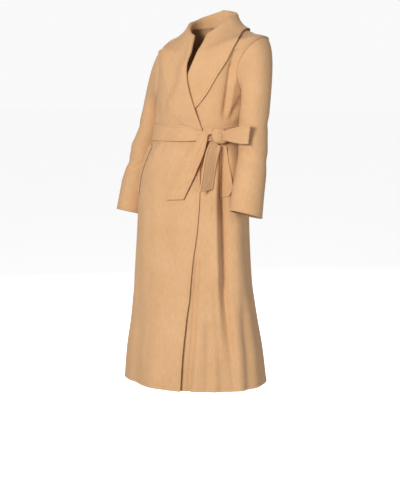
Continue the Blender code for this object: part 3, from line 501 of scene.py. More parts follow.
# A sheet of cloth with a rounded edge all round; closed joins its last column to the first.
def makeShell(name, outer, wall, closed=False, flip=False, inner=None, turnUv=False):
    rows, columns = outer.shape[:2]
    sign = -1.0 if flip else 1.0
    if inner is None:
        inner = outer - gridNormals(outer, closed) * sign * wall
    count = rows * columns
    index = np.arange(count).reshape(rows, columns)
    uv = clothUv(outer, closed)
    if turnUv:
        uv = uv[..., ::-1]
    if closed:
        index = np.concatenate((index, index[:, :1]), axis=1)
    corners = (index[:-1, :-1], index[:-1, 1:], index[1:, 1:], index[1:, :-1])
    cornerUv = (uv[:-1, :-1], uv[:-1, 1:], uv[1:, 1:], uv[1:, :-1])
    faces = np.stack(corners, axis=-1).reshape(-1, 4)
    faceUv = np.stack(cornerUv, axis=-2).reshape(-1, 4, 2)
    allFaces, allUv = [faces, faces[:, ::-1] + count], [faceUv, faceUv[:, ::-1]]

    ends = index.shape[1] - 1
    if closed:
        loops = [[(0, j) for j in range(ends + 1)],
                 [(rows - 1, j) for j in range(ends, -1, -1)]]
    else:
        loop = [(0, j) for j in range(ends)] + [(i, ends) for i in range(rows - 1)]
        loop += [(rows - 1, j) for j in range(ends, 0, -1)]
        loop += [(i, 0) for i in range(rows - 1, 0, -1)]
        loops = [loop + loop[:1]]
    points = [outer.reshape(-1, 3), inner.reshape(-1, 3)]
    total = 2 * count
    for loop in loops:
        place = np.array(loop)
        inside = place.copy()
        inside[:, 0] = np.clip(place[:, 0], 1, rows - 2)
        if not closed:
            inside[:, 1] = np.clip(place[:, 1], 1, columns - 2)
        ids = index[place[:, 0], place[:, 1]]
        away = unit(points[0][ids] - points[0][index[inside[:, 0], inside[:, 1]]])
        middle = (points[0][ids] + points[1][ids]) / 2 + away * wall * finishedEdge["bulge"]
        points.append(middle[:-1])
        ring = np.arange(len(loop) - 1) + total
        ring = np.concatenate((ring, ring[:1]))
        total += len(loop) - 1
        edgeUv = uv[place[:, 0], place[:, 1]]
        a, b = slice(None, -1), slice(1, None)
        allFaces.append(np.stack((ids[b], ids[a], ring[a], ring[b]), axis=-1))
        allFaces.append(np.stack((ring[b], ring[a], ids[a] + count, ids[b] + count), axis=-1))
        allUv += [np.stack((edgeUv[b], edgeUv[a], edgeUv[a], edgeUv[b]), axis=-2)] * 2

    faces, uvs = np.concatenate(allFaces), np.concatenate(allUv)
    if flip:
        faces, uvs = faces[:, ::-1], uvs[:, ::-1]
    return clothPiece(name, np.concatenate(points), faces.tolist(), uvs)


stitchLines = []              # rows of sewing: points on the cloth and the way out of it


def sew(points, out, closed=False):
    if closed:
        points, out = np.concatenate((points, points[:1])), np.concatenate((out, out[:1]))
    stitchLines.append((points, out))


def clothName(node):
    first, *others = node.split("_")
    return first + "".join(word.capitalize() for word in others) + "Cloth"


def finish(piece, node):
    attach(piece, "root")
    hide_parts(node)


def linear(hexColour):
    parts = [int(hexColour[i:i + 2], 16) / 255 for i in (1, 3, 5)]
    lit = [p / 12.92 if p <= 0.04045 else ((p + 0.055) / 1.055) ** 2.4 for p in parts]
    return (*lit, 1.0)


# Inputs are named, or numbered where names repeat: in a Mix node 0 is the factor, 2 and 3
# are numbers, 6 and 7 colours, and output 2 is the colour.
def addNode(tree, kind, inputs=None, **settings):
    node = tree.nodes.new(kind)
    for name, value in settings.items():
        setattr(node, name, value)
    for name, value in (inputs or {}).items():
        if isinstance(value, bpy.types.NodeSocket):
            tree.links.new(value, node.inputs[name])
        else:
            node.inputs[name].default_value = value
    return node


# The shader of a new material, its tree, and where its patterns take their place from.
def newMaterial(name):
    material = bpy.data.materials.new(name)
    material.use_nodes = True
    tree = material.node_tree
    return material, tree, tree.nodes["Principled BSDF"], addNode(tree, "ShaderNodeTexCoord")


wool = {
    "light": "#CFA780",       # camel, where the nap lies towards the light
    "dark": "#C1986E",
    "napAcross": 0.0030,      # a lock of nap, drawn about three times its size so that it shows
    "napAlong": 0.0260,
    "cloud": 0.090,           # slow change of shade over the cloth
    "twill": 0.0034,          # twill lines under the nap, also drawn coarser than they are
    "twillTurn": 63.0,        # degrees
    "fibre": 0.0011,          # single fibres, seen close up only
    "cloudShare": 0.30,       # of the shade
    "contrast": (0.34, 0.66),    # part of the noise's range that runs from dark to light
    "fibreShare": 0.35,       # of the height
    "twillShare": 0.12,
    "bump": 0.30,
    "bumpHeight": 0.0012,
    "roughness": 0.93,
    "specular": 0.25,
    "sheen": 0.22,            # the nap's haze at grazing angles
    "sheenRoughness": 0.45,
    "sheenTint": "#FFE7CC",
}
waveLine = 0.314              # a Wave texture of scale 1 has a line this often


def camelWool():
    # double-faced camel wool, milled and brushed: matt, with a short nap that hides the twill
    material, tree, shader, place = newMaterial("camelDoubleFacedWool")
    napScale = (1 / wool["napAcross"], 1 / wool["napAlong"], 1.0)
    napPlace = addNode(tree, "ShaderNodeMapping",
                       {"Vector": place.outputs["UV"], "Scale": napScale})
    nap = addNode(tree, "ShaderNodeTexNoise",
                  {"Vector": napPlace.outputs[0], "Scale": 1.0, "Detail": 4.0, "Roughness": 0.6})
    cloud = addNode(tree, "ShaderNodeTexNoise",
                    {"Vector": place.outputs["Object"], "Scale": 1 / wool["cloud"],
                     "Detail": 3.0})
    twillTurn = (0.0, 0.0, math.radians(wool["twillTurn"]))
    twillPlace = addNode(tree, "ShaderNodeMapping",
                         {"Vector": place.outputs["UV"], "Rotation": twillTurn})
    twill = addNode(tree, "ShaderNodeTexWave",
                    {"Vector": twillPlace.outputs[0], "Scale": waveLine / wool["twill"],
                     "Distortion": 1.2, "Detail": 2.0, "Detail Scale": 1.5})
    fibre = addNode(tree, "ShaderNodeTexNoise",
                    {"Vector": place.outputs["UV"], "Scale": 1 / wool["fibre"], "Detail": 3.0})
    shade = addNode(tree, "ShaderNodeMix",
                    {0: wool["cloudShare"], 2: nap.outputs[0], 3: cloud.outputs[0]})
    darkest, lightest = wool["contrast"]
    spreadShade = addNode(tree, "ShaderNodeMapRange",
                          {"Value": shade.outputs[0], "From Min": darkest, "From Max": lightest})
    colour = addNode(tree, "ShaderNodeMix",
                     {"Factor": spreadShade.outputs[0], 6: linear(wool["dark"]),
                      7: linear(wool["light"])}, data_type="RGBA")
    tree.links.new(colour.outputs[2], shader.inputs["Base Color"])
    heights = addNode(tree, "ShaderNodeMix",
                      {0: wool["fibreShare"], 2: nap.outputs[0], 3: fibre.outputs[0]})
    woven = addNode(tree, "ShaderNodeMix",
                    {0: wool["twillShare"], 2: heights.outputs[0], 3: twill.outputs[0]})
    bump = addNode(tree, "ShaderNodeBump",
                   {"Height": woven.outputs[0], "Strength": wool["bump"],
                    "Distance": wool["bumpHeight"]})
    tree.links.new(bump.outputs[0], shader.inputs["Normal"])
    shader.inputs["Roughness"].default_value = wool["roughness"]
    shader.inputs["Specular IOR Level"].default_value = wool["specular"]
    shader.inputs["Sheen Weight"].default_value = wool["sheen"]
    shader.inputs["Sheen Roughness"].default_value = wool["sheenRoughness"]
    shader.inputs["Sheen Tint"].default_value = linear(wool["sheenTint"])
    return material


silk = {"dark": "#BE8F5E", "light": "#D3A574", "twist": 900.0, "roughness": 0.55}


def sewingThread():
    # camel silk twist, a little glossier than the wool it is sewn in
    material, tree, shader, place = newMaterial("camelSilkThread")
    twist = addNode(tree, "ShaderNodeTexNoise",
                    {"Vector": place.outputs["Object"], "Scale": silk["twist"], "Detail": 1.0})
    colour = addNode(tree, "ShaderNodeMix",
                     {"Factor": twist.outputs[0], 6: linear(silk["dark"]),
                      7: linear(silk["light"])}, data_type="RGBA")
    tree.links.new(colour.outputs[2], shader.inputs["Base Color"])
    shader.inputs["Roughness"].default_value = silk["roughness"]
    return material


woolCloth = camelWool()
thread = sewingThread()
print("materials made")


panels = {
    "back": {"count": 132, "edges": ("seam", "seam"), "flat": (0.80, 1.33), "area": 0.76},
    "right_front": {"count": 96, "edges": ("seam", "felled"), "flat": (0.56, 1.33), "area": 0.47},
    "left_front": {"count": 96, "edges": ("felled", "seam"), "flat": (0.56, 1.33), "area": 0.47},
}


panelGrid = {"armholeRows": 46, "shoulderRows": 26, "probes": 60}


# A side seam's edge, which opens round the armhole.
def seamTurn(side, towards, rise):
    seam = side * 90.0
    across = plainPoint(seam + probe["turn"], rise) - plainPoint(seam - probe["turn"], rise)
    perDegree = np.linalg.norm(across, axis=-1) / (2 * probe["turn"])
    half = armholeHalfTurn(rise)
    return seam + towards * np.where(half < 1.0, cloth["seamGap"] / 2 / perDegree, half)


panelTurns = {
    "back": lambda rise: (seamTurn(1, 1, rise), 360.0 + seamTurn(-1, -1, rise)),
    "right_front": lambda rise: (seamTurn(-1, 1, rise), frontEdge(rise)),
    "left_front": lambda rise: (-frontEdge(rise), seamTurn(1, -1, rise)),
}


def panelRises():
    low, high = cloth["underarmRise"], cloth["shoulderRise"]
    hem = spread(low, int(low / cloth["cell"]), end=False)
    middle, half, steps = (low + high) / 2, (high - low) / 2, panelGrid["armholeRows"]
    armhole = middle - half * np.cos(np.pi * np.arange(1, steps) / steps)
    top = high + spread(cloth["neckRise"] - high, panelGrid["shoulderRows"], start=False)
    return np.concatenate((hem, armhole, top))


# Turns, rises, and metres from the two upright edges, for a panel's grid.
def panelPlaces(name):
    rises = panelRises()
    start, end = panelTurns[name](rises)
    turns, fromStart, fromEnd = [], [], []
    for rise, first, last in zip(rises, start, end):
        trace = plainPoint(np.linspace(first, last, panelGrid["probes"]), rise)
        width = np.linalg.norm(np.diff(trace, axis=0), axis=1).sum()
        steps = spread(width, panels[name]["count"])
        turns.append(first + (last - first) * steps / width)
        fromStart.append(steps)
        fromEnd.append(width - steps)
    turns = np.array(turns)
    return turns, rises[:, None] + np.zeros_like(turns), np.array(fromStart), np.array(fromEnd)


def panelLift(name, rise, fromStart, fromEnd):
    work = {"seam": seamEdge, "felled": felledEdge}
    first, last = panels[name]["edges"]
    sides = work[first](fromStart) + work[last](fromEnd)
    return sides + felledEdge(rise) + seamEdge(cloth["neckRise"] - rise)


def makePanel(name):
    turn, rise, fromStart, fromEnd = panelPlaces(name)
    lift = panelLift(name, rise, fromStart, fromEnd)
    outer = coatPoint(turn, rise, lift, onTop=name == "right_front")
    out = gridNormals(outer)
    row = stitch["row"]
    sew(outer[row], out[row])
    for column, work in zip((row, -1 - row), panels[name]["edges"]):
        if work == "felled":
            sew(outer[:, column], out[:, column])
    piece = makeShell(clothName(name), outer, cloth["wall"])
    finish(piece, name)


for name in panels:
    makePanel(name)
print("panels made")


sleeveColumns = ("z", "x", "y", "halfX", "halfY", "slopeX", "slopeY")
sleeveFold = ("around", "z", "halfAround", "halfZ", "slant", "height")
sleeves = {
    "left_sleeve": {
        "side": 1, "capStart": 0.17, "flat": (0.40, 0.64), "area": 0.205,
        "arm": table(sleeveColumns, (
            (-0.605, 0.198, -0.134, 0.0530, 0.0560, -0.120, -0.270),
            (-0.540, 0.195, -0.114, 0.0520, 0.0550, -0.080, -0.180),
            (-0.470, 0.191, -0.086, 0.0500, 0.0530, -0.030, -0.080),
            (-0.410, 0.189, -0.070, 0.0480, 0.0520, 0.000, 0.000),
            (-0.350, 0.189, -0.070, 0.0475, 0.0535, 0.000, 0.000),
            (-0.280, 0.190, -0.062, 0.0470, 0.0570, 0.000, 0.000),
        )),
        "folds": named(sleeveFold, (
            (60.0, -0.330, 60.0, 0.016, 0.020, -0.0045),
            (85.0, -0.375, 55.0, 0.018, -0.018, 0.0045),
            (70.0, -0.425, 60.0, 0.018, 0.024, -0.0045),
            (200.0, -0.390, 60.0, 0.018, 0.020, -0.0040),
            (-60.0, -0.300, 60.0, 0.020, -0.024, -0.0045),
            (-40.0, -0.440, 60.0, 0.020, 0.020, -0.0040),
        )),
        "creases": named(sleeveFold, (
            (95.0, -0.352, 40.0, 0.0070, -0.022, -0.0012),
            (100.0, -0.405, 36.0, 0.0065, 0.020, -0.0012),
            (75.0, -0.300, 38.0, 0.0080, 0.030, -0.0012),
            (110.0, -0.470, 40.0, 0.0090, 0.020, 0.0010),
            (-100.0, -0.350, 45.0, 0.0080, 0.026, -0.0014),
            (-80.0, -0.400, 45.0, 0.0080, -0.020, -0.0012),
        )),
    },
    "right_sleeve": {
        "side": -1, "capStart": 0.21, "flat": (0.40, 0.64), "area": 0.205,
        "arm": table(sleeveColumns, (
            (-0.630, -0.3075, -0.044, 0.0485, 0.0540, -0.120, -0.220),
            (-0.540, -0.3080, -0.010, 0.0500, 0.0540, -0.070, -0.140),
            (-0.470, -0.3000, 0.012, 0.0490, 0.0540, -0.030, -0.060),
            (-0.410, -0.2880, 0.024, 0.0480, 0.0540, 0.000, 0.000),
            (-0.350, -0.2680, 0.030, 0.0480, 0.0560, 0.000, 0.000),
            (-0.280, -0.2520, 0.036, 0.0435, 0.0580, 0.000, 0.000),
        )),
        "folds": named(sleeveFold, (
            (50.0, -0.450, 60.0, 0.018, 0.030, -0.0055),
            (60.0, -0.400, 60.0, 0.018, -0.020, 0.0045),
            (20.0, -0.340, 60.0, 0.018, 0.026, -0.0045),
            (-70.0, -0.420, 60.0, 0.020, -0.020, -0.0045),
            (180.0, -0.430, 60.0, 0.018, 0.010, -0.0030),
        )),
        "creases": named(sleeveFold, (
            (120.0, -0.462, 34.0, 0.0070, 0.026, -0.0028),
            (130.0, -0.430, 30.0, 0.0080, -0.012, 0.0018),
            (105.0, -0.395, 36.0, 0.0075, 0.024, -0.0014),
            (60.0, -0.520, 44.0, 0.0110, 0.016, 0.0009),
            (-90.0, -0.390, 45.0, 0.0080, 0.026, -0.0014),
            (-110.0, -0.450, 45.0, 0.0080, -0.020, -0.0012),
        )),
    },
}
sleeveShape = {
    "around": 84,
    "capRows": 22,
    "armRows": 64,
    "fineRows": (0.0, 0.008, 0.018, 0.03, 0.045, 0.065, 0.09),  # of the cap, at its seam
    "slopeRun": 0.05,         # length of arm that gives the cap its direction at the end
    "holeInset": 1.4,         # seam gaps between the armhole's edge and the sleeve
    "headRun": 0.8,           # how much the head of the sleeve first follows the shoulder
    "headBand": (-0.7, 0.3),
    "ahead": 0.25,            # how the cap spreads forward and drops as it leaves the seam
    "drop": 0.45,
    "leastLeave": 0.013,      # metres
    "arrive": 0.34,           # share of the cap's reach that already runs down the arm
}


def sleeveFoldHeight(source, around, z):
    height = 0.0
    for fold in source:
        away = turnBetween(around, fold["around"]) / fold["halfAround"]
        level = (z - fold["z"] - fold["slant"] * away) / fold["halfZ"]
        height = height + fold["height"] * np.exp(-away * away - level * level)
    return height


def armPoint(sleeve, around, z):
    cut = read(sleeve["arm"], z)
    angle = np.radians(around)
    out = sleeveFoldHeight(sleeve["folds"] + sleeve["creases"], around, z)
    dx = sleeve["side"] * (cut["halfX"] + out) * np.cos(angle)
    dy = -(cut["halfY"] + out) * np.sin(angle)
    return vector(cut["x"] + dx, cut["y"] + dy, z + cut["slopeX"] * dx + cut["slopeY"] * dy)


# Points just inside the armhole's edge, and the directions into the hole.
def armholeRing(side, around):
    angle = np.radians(around)
    middle = (cloth["shoulderRise"] + cloth["underarmRise"]) / 2
    half = (cloth["shoulderRise"] - cloth["underarmRise"]) / 2
    turn = side * (90.0 - cloth["armholeHalfTurn"] * np.sin(angle))
    rise = middle + half * np.cos(angle)
    points = coatPoint(turn, rise)
    tangents = np.roll(points, -1, axis=0) - np.roll(points, 1, axis=0)
    holes = unit(np.cross(tangents, plainNormal(turn, rise)))
    inwards = np.sum(holes * (points.mean(axis=0) - points), axis=1)
    holes = holes * np.sign(inwards)[:, None]
    return points + holes * cloth["seamGap"] * sleeveShape["holeInset"], holes


def makeSleeve(name):
    sleeve = sleeves[name]
    side, arm = sleeve["side"], sleeve["arm"]
    around = 180.0 + 360.0 * np.arange(sleeveShape["around"]) / sleeveShape["around"]
    ring, holes = armholeRing(side, around)
    topZ, cuffZ, slopeRun = arm["keys"][-1], arm["keys"][0], sleeveShape["slopeRun"]
    top, below = read(arm, topZ), read(arm, topZ - slopeRun)
    upArm = unit(np.array((top["x"] - below["x"], top["y"] - below["y"], slopeRun)))
    end = armPoint(sleeve, around, np.full(len(around), topZ))
    spreadOut = unit(ring - ring.mean(axis=0))
    forward, lifted = spreadOut[:, 1], spreadOut[:, 2]
    away = vector(side, sleeveShape["ahead"] * forward,
                  -sleeveShape["drop"] * np.maximum(lifted, 0.0))
    head = sleeveShape["headRun"] * smooth(lifted, *sleeveShape["headBand"])[:, None]
    away = unit(away + holes * head)
    reach = np.linalg.norm(end - ring, axis=1)[:, None]
    leave = ring + away * np.maximum(sleeve["capStart"] * reach, sleeveShape["leastLeave"])
    arrive = end + upArm * sleeveShape["arrive"] * reach
    *fine, fineEnd = sleeveShape["fineRows"]
    coarse = np.linspace(fineEnd, 1.0, sleeveShape["capRows"])[:-1]
    steps = np.concatenate((fine, coarse))[:, None, None]
    cap = ring * (1 - steps) ** 3 + leave * 3 * steps * (1 - steps) ** 2
    cap = cap + arrive * 3 * steps ** 2 * (1 - steps) + end * steps ** 3
    levels = topZ - spread(topZ - cuffZ, sleeveShape["armRows"], start=False)
    tube = np.array([armPoint(sleeve, around, np.full(len(around), z)) for z in levels])
    base = np.concatenate((cap, tube))
    lengths = np.linalg.norm(np.diff(base, axis=0), axis=2)
    run = np.concatenate((np.zeros((1, len(around))), np.cumsum(lengths, axis=0)))
    lift = seamEdge(run) + felledEdge(run[-1] - run)
    normals = gridNormals(base, closed=True) * side
    outer = base + normals * lift[..., None]
    inner = outer - normals * cloth["wall"]
    wall = -normals[0] + holes * np.maximum(np.sum(normals[0] * holes, axis=1), 0.0)[:, None]
    inner[0] = outer[0] + unit(wall) * cloth["wall"]
    sew(outer[-1 - stitch["row"]], normals[-1 - stitch["row"]], closed=True)
    piece = makeShell(clothName(name), outer, cloth["wall"],
                      closed=True, flip=side < 0, inner=inner)
    finish(piece, name)


for name in sleeves:
    makeSleeve(name)
print("sleeves made")


collar = {
    "table": table(
        ("along", "edgeRise", "pastFront", "inset", "rollUp", "rollRadius",
         "fallTurn", "fallRise", "fallLift"),
        (
            (0.00, 0.8660, 0.0, 0.0000, 0.000, 0.0028, -21.0, 0.866, 0.0000),
            (0.06, 0.8930, 0.0, 0.0000, 0.000, 0.0032, -6.0, 0.892, 0.0012),
            (0.14, 0.9340, 0.0, 0.0000, 0.000, 0.0036, 14.0, 0.931, 0.0030),
            (0.22, 0.9850, 0.0, 0.0000, 0.000, 0.0040, 31.0, 0.985, 0.0030),
            (0.32, 1.0400, 0.0, 0.0000, 0.000, 0.0042, 41.5, 1.045, 0.0018),
            (0.42, 1.1100, 0.0, 0.0000, 0.001, 0.0046, 49.0, 1.095, 0.0020),
            (0.52, 1.2000, 0.0, 0.0000, 0.005, 0.0052, 53.5, 1.140, 0.0030),
            (0.60, 1.3050, 0.0, 0.0043, 0.010, 0.0056, 61.5, 1.192, 0.0028),
            (0.68, 1.3050, 24.0, 0.0028, 0.015, 0.0050, 77.0, 1.232, 0.0032),
            (0.78, 1.3050, 69.0, 0.0024, 0.021, 0.0050, 102.0, 1.244, 0.0036),
            (0.88, 1.3050, 114.0, 0.0024, 0.038, 0.0050, 139.0, 1.236, 0.0050),
            (1.00, 1.3050, 159.0, 0.0024, 0.050, 0.0050, 180.0, 1.226, 0.0054),
        ),
    ),
    "rollAngles": (25.0, 60.0, 95.0, 130.0, 160.0),
    "fallSteps": (0.05, 0.12, 0.22, 0.36, 0.52, 0.68, 0.84, 1.0),
    "samples": (2, 2, 2, 2, 2, 2, 2, 3, 4, 5, 6, 6, 6, 6),    # faces between a section's points
    "edgeRun": 0.0032,        # the collar runs on in the front's plane before it rolls over
    "startGap": 1.5,          # seam gaps between the front's edge and the collar
    "startRoll": 0.45,        # share of the roll's rise at the section's second point
    "neckStart": 0.53,        # along the collar, where the front's edge turns into the neck's
    "neckEnd": 0.66,
    "lapelBand": (0.10, 0.26, 0.50, 0.72),     # where the right half is made narrower
    "standBand": (0.24, 0.44, 0.62, 0.78),     # where the outer edge stands off the coat
    "backTurn": 179.9,        # the two halves stop just short of the centre back
    "felledTo": 0.02,         # metres from the outer edge that its felling shapes
    "halves": {
        "collar_left": {"side": 1, "start": 0.16, "stations": 130,
                        "edgeLift": 0.0042, "narrower": 0.0},
        "collar_right": {"side": -1, "start": 0.0, "stations": 160,
                         "edgeLift": 0.0052, "narrower": 4.5},
    },
    "flat": (0.17, 0.66), "area": 0.075,
}


# A soft line through each row's points, with so many faces between neighbours.
def smoothSection(points, samples):
    gaps = np.linalg.norm(np.diff(points, axis=1), axis=2)[..., None]
    gaps = np.maximum(gaps, 1e-6)
    rates = np.diff(points, axis=1) / gaps
    tangents = np.empty_like(points)
    tangents[:, 0], tangents[:, -1] = rates[:, 0], rates[:, -1]
    weighted = rates[:, 1:] * gaps[:, :-1] + rates[:, :-1] * gaps[:, 1:]
    tangents[:, 1:-1] = weighted / (gaps[:, 1:] + gaps[:, :-1])
    out = [points[:, :1]]
    for k, count in enumerate(samples):
        f = (np.arange(1, count + 1) / count)[None, :, None]
        low, high, gap = points[:, k:k + 1], points[:, k + 1:k + 2], gaps[:, k:k + 1]
        leave, arrive = tangents[:, k:k + 1] * gap, tangents[:, k + 1:k + 2] * gap
        out.append(softStep(low, high, leave, arrive, f))
    return np.concatenate(out, axis=1)


def collarSections(half):
    side, count = half["side"], half["stations"]
    along = half["start"] + (1 - half["start"]) * np.arange(count) / (count - 1)
    at = read(collar["table"], along)
    rise = np.minimum(at["edgeRise"], cloth["neckRise"])
    turn = side * (at["pastFront"] - frontEdge(rise))
    lapel = plateau(along, collar["lapelBand"])
    fallTurn = side * (at["fallTurn"] - half["narrower"] * lapel)
    turn[-1] = fallTurn[-1] = side * collar["backTurn"]

    def under(place, level, lift):
        front = np.abs(place) <= 90.0
        extra = topLayerLift(place, level) * front if side < 0 else 0.0
        return coatPoint(place, level, lift + extra)

    neck = smooth(along, collar["neckStart"], collar["neckEnd"])[:, None]
    edge, beneath = under(turn, rise, 0.0), under(turn, rise, -cloth["wall"] / 2)
    normal = unit(edge - beneath)
    aside = side * probe["turn"]
    opening = unit(under(turn - aside, rise, 0.0) - under(turn + aside, rise, 0.0))
    upwards = unit(edge - under(turn, rise - 0.01, 0.0))
    into = unit(opening * (1 - neck) + upwards * neck)
    outwards = unit(normal * (1 - neck) + normal * (1.0, 1.0, 0.0) * neck)
    climb = unit(into * (1 - neck) + up * neck)
    radius, rollUp = at["rollRadius"][:, None], at["rollUp"][:, None]
    start = beneath + into * cloth["seamGap"] * collar["startGap"]
    start = start - outwards * at["inset"][:, None]
    run = start + into * collar["edgeRun"] * (1 - neck)
    top = run + up * rollUp
    section = [start, run + up * rollUp * collar["startRoll"]]
    for angle in collar["rollAngles"]:
        c, s = math.cos(math.radians(angle)), math.sin(math.radians(angle))
        section.append(top + outwards * radius * (1 - c) + climb * radius * s)
    rest = cloth["wall"] / 2 + cloth["trimGap"] + at["fallLift"]
    stand = plateau(along, collar["standBand"]) * half["edgeLift"]
    for f in collar["fallSteps"]:
        place, level = between(turn, fallTurn, f), between(rise, at["fallRise"], f)
        high = 2 * at["rollRadius"] - cloth["wall"] / 2 - rest
        lift = rest + high * (1 - f) ** 3 + stand * f ** 3
        section.append(under(place, level, lift) + up * rollUp * (1 - f) ** 3)
    return smoothSection(np.stack(section, axis=1), collar["samples"])


def makeCollar(name):
    half = collar["halves"][name]
    middle = collarSections(half)
    steps = np.linalg.norm(np.diff(middle, axis=1), axis=2)
    fromEdge = np.cumsum(steps[:, ::-1], axis=1)[:, ::-1]
    fromEdge = np.concatenate((fromEdge, np.zeros((len(middle), 1))), axis=1)
    normals = gridNormals(middle) * half["side"]
    normals[-1, :, 0] = 0.0
    normals[-1] = unit(normals[-1])
    edge = felledEdge(fromEdge) * (fromEdge < collar["felledTo"])
    outer = middle + normals * (cloth["wall"] / 2 + edge)[..., None]
    inner = middle - normals * cloth["wall"] / 2
    row = np.arange(len(outer))
    column = np.abs(fromEdge - finishedEdge["groove"][0]).argmin(axis=1)
    sew(outer[row, column][:-1], normals[row, column][:-1])
    piece = makeShell(clothName(name), outer, cloth["wall"],
                      flip=half["side"] < 0, inner=inner)
    finish(piece, name)


for name in collar["halves"]:
    makeCollar(name)
print("collar made")


full = cloth["beltHalfWidth"]
belt = {
    "band": table(
        ("turn", "lift", "shift", "halfWidth"),
        (
            (58.5, 0.0016, 0.000, 0.0200),
            (66.0, 0.0016, 0.000, 0.0245),
            (78.0, 0.0014, 0.000, full),
            (296.0, 0.0014, 0.000, full),
            (305.0, 0.0032, 0.000, full),
            (314.0, 0.0047, 0.000, full),
            (322.0, 0.0056, 0.000, full),
            (340.0, 0.0070, 0.000, full),
            (352.0, 0.0100, 0.000, full),
            (362.0, 0.0115, 0.000, full),
            (372.0, 0.0122, -0.0015, 0.0250),
            (384.0, 0.0128, -0.0045, 0.0205),
            (396.0, 0.0130, -0.0080, 0.0160),
            (404.0, 0.0080, -0.0085, 0.0150),
            (410.0, 0.0034, -0.0080, 0.0145),
            (415.5, 0.0016, -0.0070, 0.0140),
        ),
    ),
    "stations": 300,
    "across": 26,
    # pleats that gather the band into the knot: turns, places across it, half width, depth
    "pleats": named(
        ("startTurn", "endTurn", "startPlace", "endPlace", "half", "height"),
        (
            (372.0, 398.0, 0.34, 0.02, 0.12, -0.0026),
            (378.0, 400.0, -0.30, -0.45, 0.11, -0.0024),
            (366.0, 402.0, 0.66, 0.48, 0.12, 0.0012),
            (368.0, 396.0, 0.00, -0.20, 0.14, 0.0010),
            (74.0, 58.5, 0.20, 0.15, 0.15, -0.0018),
        ),
    ),
    "edge": 0.8,              # share of a front's felled edge
    "pleatBack": 0.5,         # share of a pleat's depth that the inner face follows
    "bandFlat": (0.054, 0.95),
    "bandArea": 0.050,
}


# The belt's turned edges are fuller than its middle.
def beltEdge(place, halfWidth):
    fromEdge = np.minimum((1 - place) * halfWidth, (1 + place) * halfWidth)
    return felledEdge(fromEdge) * belt["edge"]


def pleatHeight(turn, place):
    height = 0.0
    for pleat in belt["pleats"]:
        along = (turn - pleat["startTurn"]) / (pleat["endTurn"] - pleat["startTurn"])
        along = np.clip(along, 0.0, 1.0)
        middle = between(pleat["startPlace"], pleat["endPlace"], along)
        height = height + pleat["height"] * along * hump((place - middle) / pleat["half"])
    return height


def makeBand():
    first, last = belt["band"]["keys"][0], belt["band"]["keys"][-1]
    turn = np.linspace(first, last, belt["stations"])[None, :]
    at = read(belt["band"], turn)
    wide = 2 * cloth["beltHalfWidth"]
    place = (spread(wide, belt["across"]) / wide * 2 - 1)[:, None]
    rise = cloth["waistRise"] + at["shift"] + place * at["halfWidth"]
    turn = turn + np.zeros_like(rise)
    normal = plainNormal(turn, rise)
    base = plainPoint(turn, rise) + normal * at["lift"][..., None]
    pleat = pleatHeight(turn, place)
    lift = cloth["beltWall"] + (beltEdge(place, at["halfWidth"]) + pleat)
    outer = base + normal * lift[..., None]
    inner = base + normal * np.minimum(pleat * belt["pleatBack"], 0.0)[..., None]
    for row in (stitch["row"], -1 - stitch["row"]):
        sew(outer[row], normal[row])
    piece = makeShell("beltBandCloth", outer, cloth["beltWall"], inner=inner, turnUv=True)
    finish(piece, "belt_band")


# slantFrom is how far along a strip its end begins to run off square.
ribbonShape = {"across": 24, "slantFrom": 0.45}


# A strip of belt along a line of middles; sides point across it.
def ribbon(name, middles, sides, halfWidths, pleats, endSlant=0.0):
    wide = 2 * cloth["beltHalfWidth"]
    place = (spread(wide, ribbonShape["across"]) / wide * 2 - 1)[:, None]
    rows = middles[None] + sides[None] * (place * halfWidths[None])[..., None]
    toEnd = smooth(np.linspace(0.0, 1.0, len(middles)), ribbonShape["slantFrom"], 1.0) * endSlant
    rows = rows + unit(np.gradient(middles, axis=0))[None] * (place * toEnd)[..., None]
    facing = gridNormals(rows)
    steps = np.linalg.norm(np.diff(middles, axis=0), axis=1)
    run = np.concatenate(((0.0,), np.cumsum(steps)))[None, :]
    fold = pleats(place, run / run[0, -1])
    edge = beltEdge(place, halfWidths[None])
    outer = rows + facing * (cloth["beltWall"] / 2 + edge + fold)[..., None]
    inner = rows - facing * (cloth["beltWall"] / 2 + edge - fold)[..., None]
    for row in (stitch["row"], -1 - stitch["row"]):
        sew(outer[row], facing[row])
    return makeShell(name, outer, cloth["beltWall"], inner=inner, turnUv=True)


knot = {
    "turn": 57.0, "lift": 0.0195, "drop": 0.006,
    "sections": table(
        ("height", "halfAcross", "halfDeep", "shift", "square"),
        (
            (-0.0240, 0.0120, 0.0075, 0.004, 2.4),
            (-0.0200, 0.0185, 0.0110, 0.003, 2.5),
            (-0.0110, 0.0225, 0.0135, 0.001, 2.6),
            (0.0000, 0.0240, 0.0140, 0.000, 2.6),
            (0.0110, 0.0230, 0.0135, -0.001, 2.6),
            (0.0200, 0.0190, 0.0115, -0.002, 2.5),
            (0.0245, 0.0125, 0.0080, -0.003, 2.4),
        ),
    ),
    "halfHeight": 0.0240,
    "rows": 40,
    "around": 96,
    "cap": 0.0012,            # how far the two ends are domed
    # creases of the wrap, in degrees round the knot; slant is the turn over half its height
    "creases": named(
        ("angle", "slant", "half", "depth"),
        (
            (16.0, -6.0, 5.0, -0.0016),
            (-6.0, 3.0, 5.0, -0.0014),
            (-30.0, 8.0, 6.0, -0.0026),
            (4.0, -2.0, 5.0, 0.0007),
        ),
    ),
    # the strand that crosses the wrap and runs down into the short tail
    "strand": {"angle": 46.0, "slant": 20.0, "half": 4.0, "thick": 0.0020, "groove": 0.0012,
               "endAngle": 130.0, "endHalf": 20.0, "reach": 90.0},
    "uvStep": 0.001,          # metres of cloth from one point round the knot to the next
    "flat": (0.056, 0.075), "area": 0.0040,
}


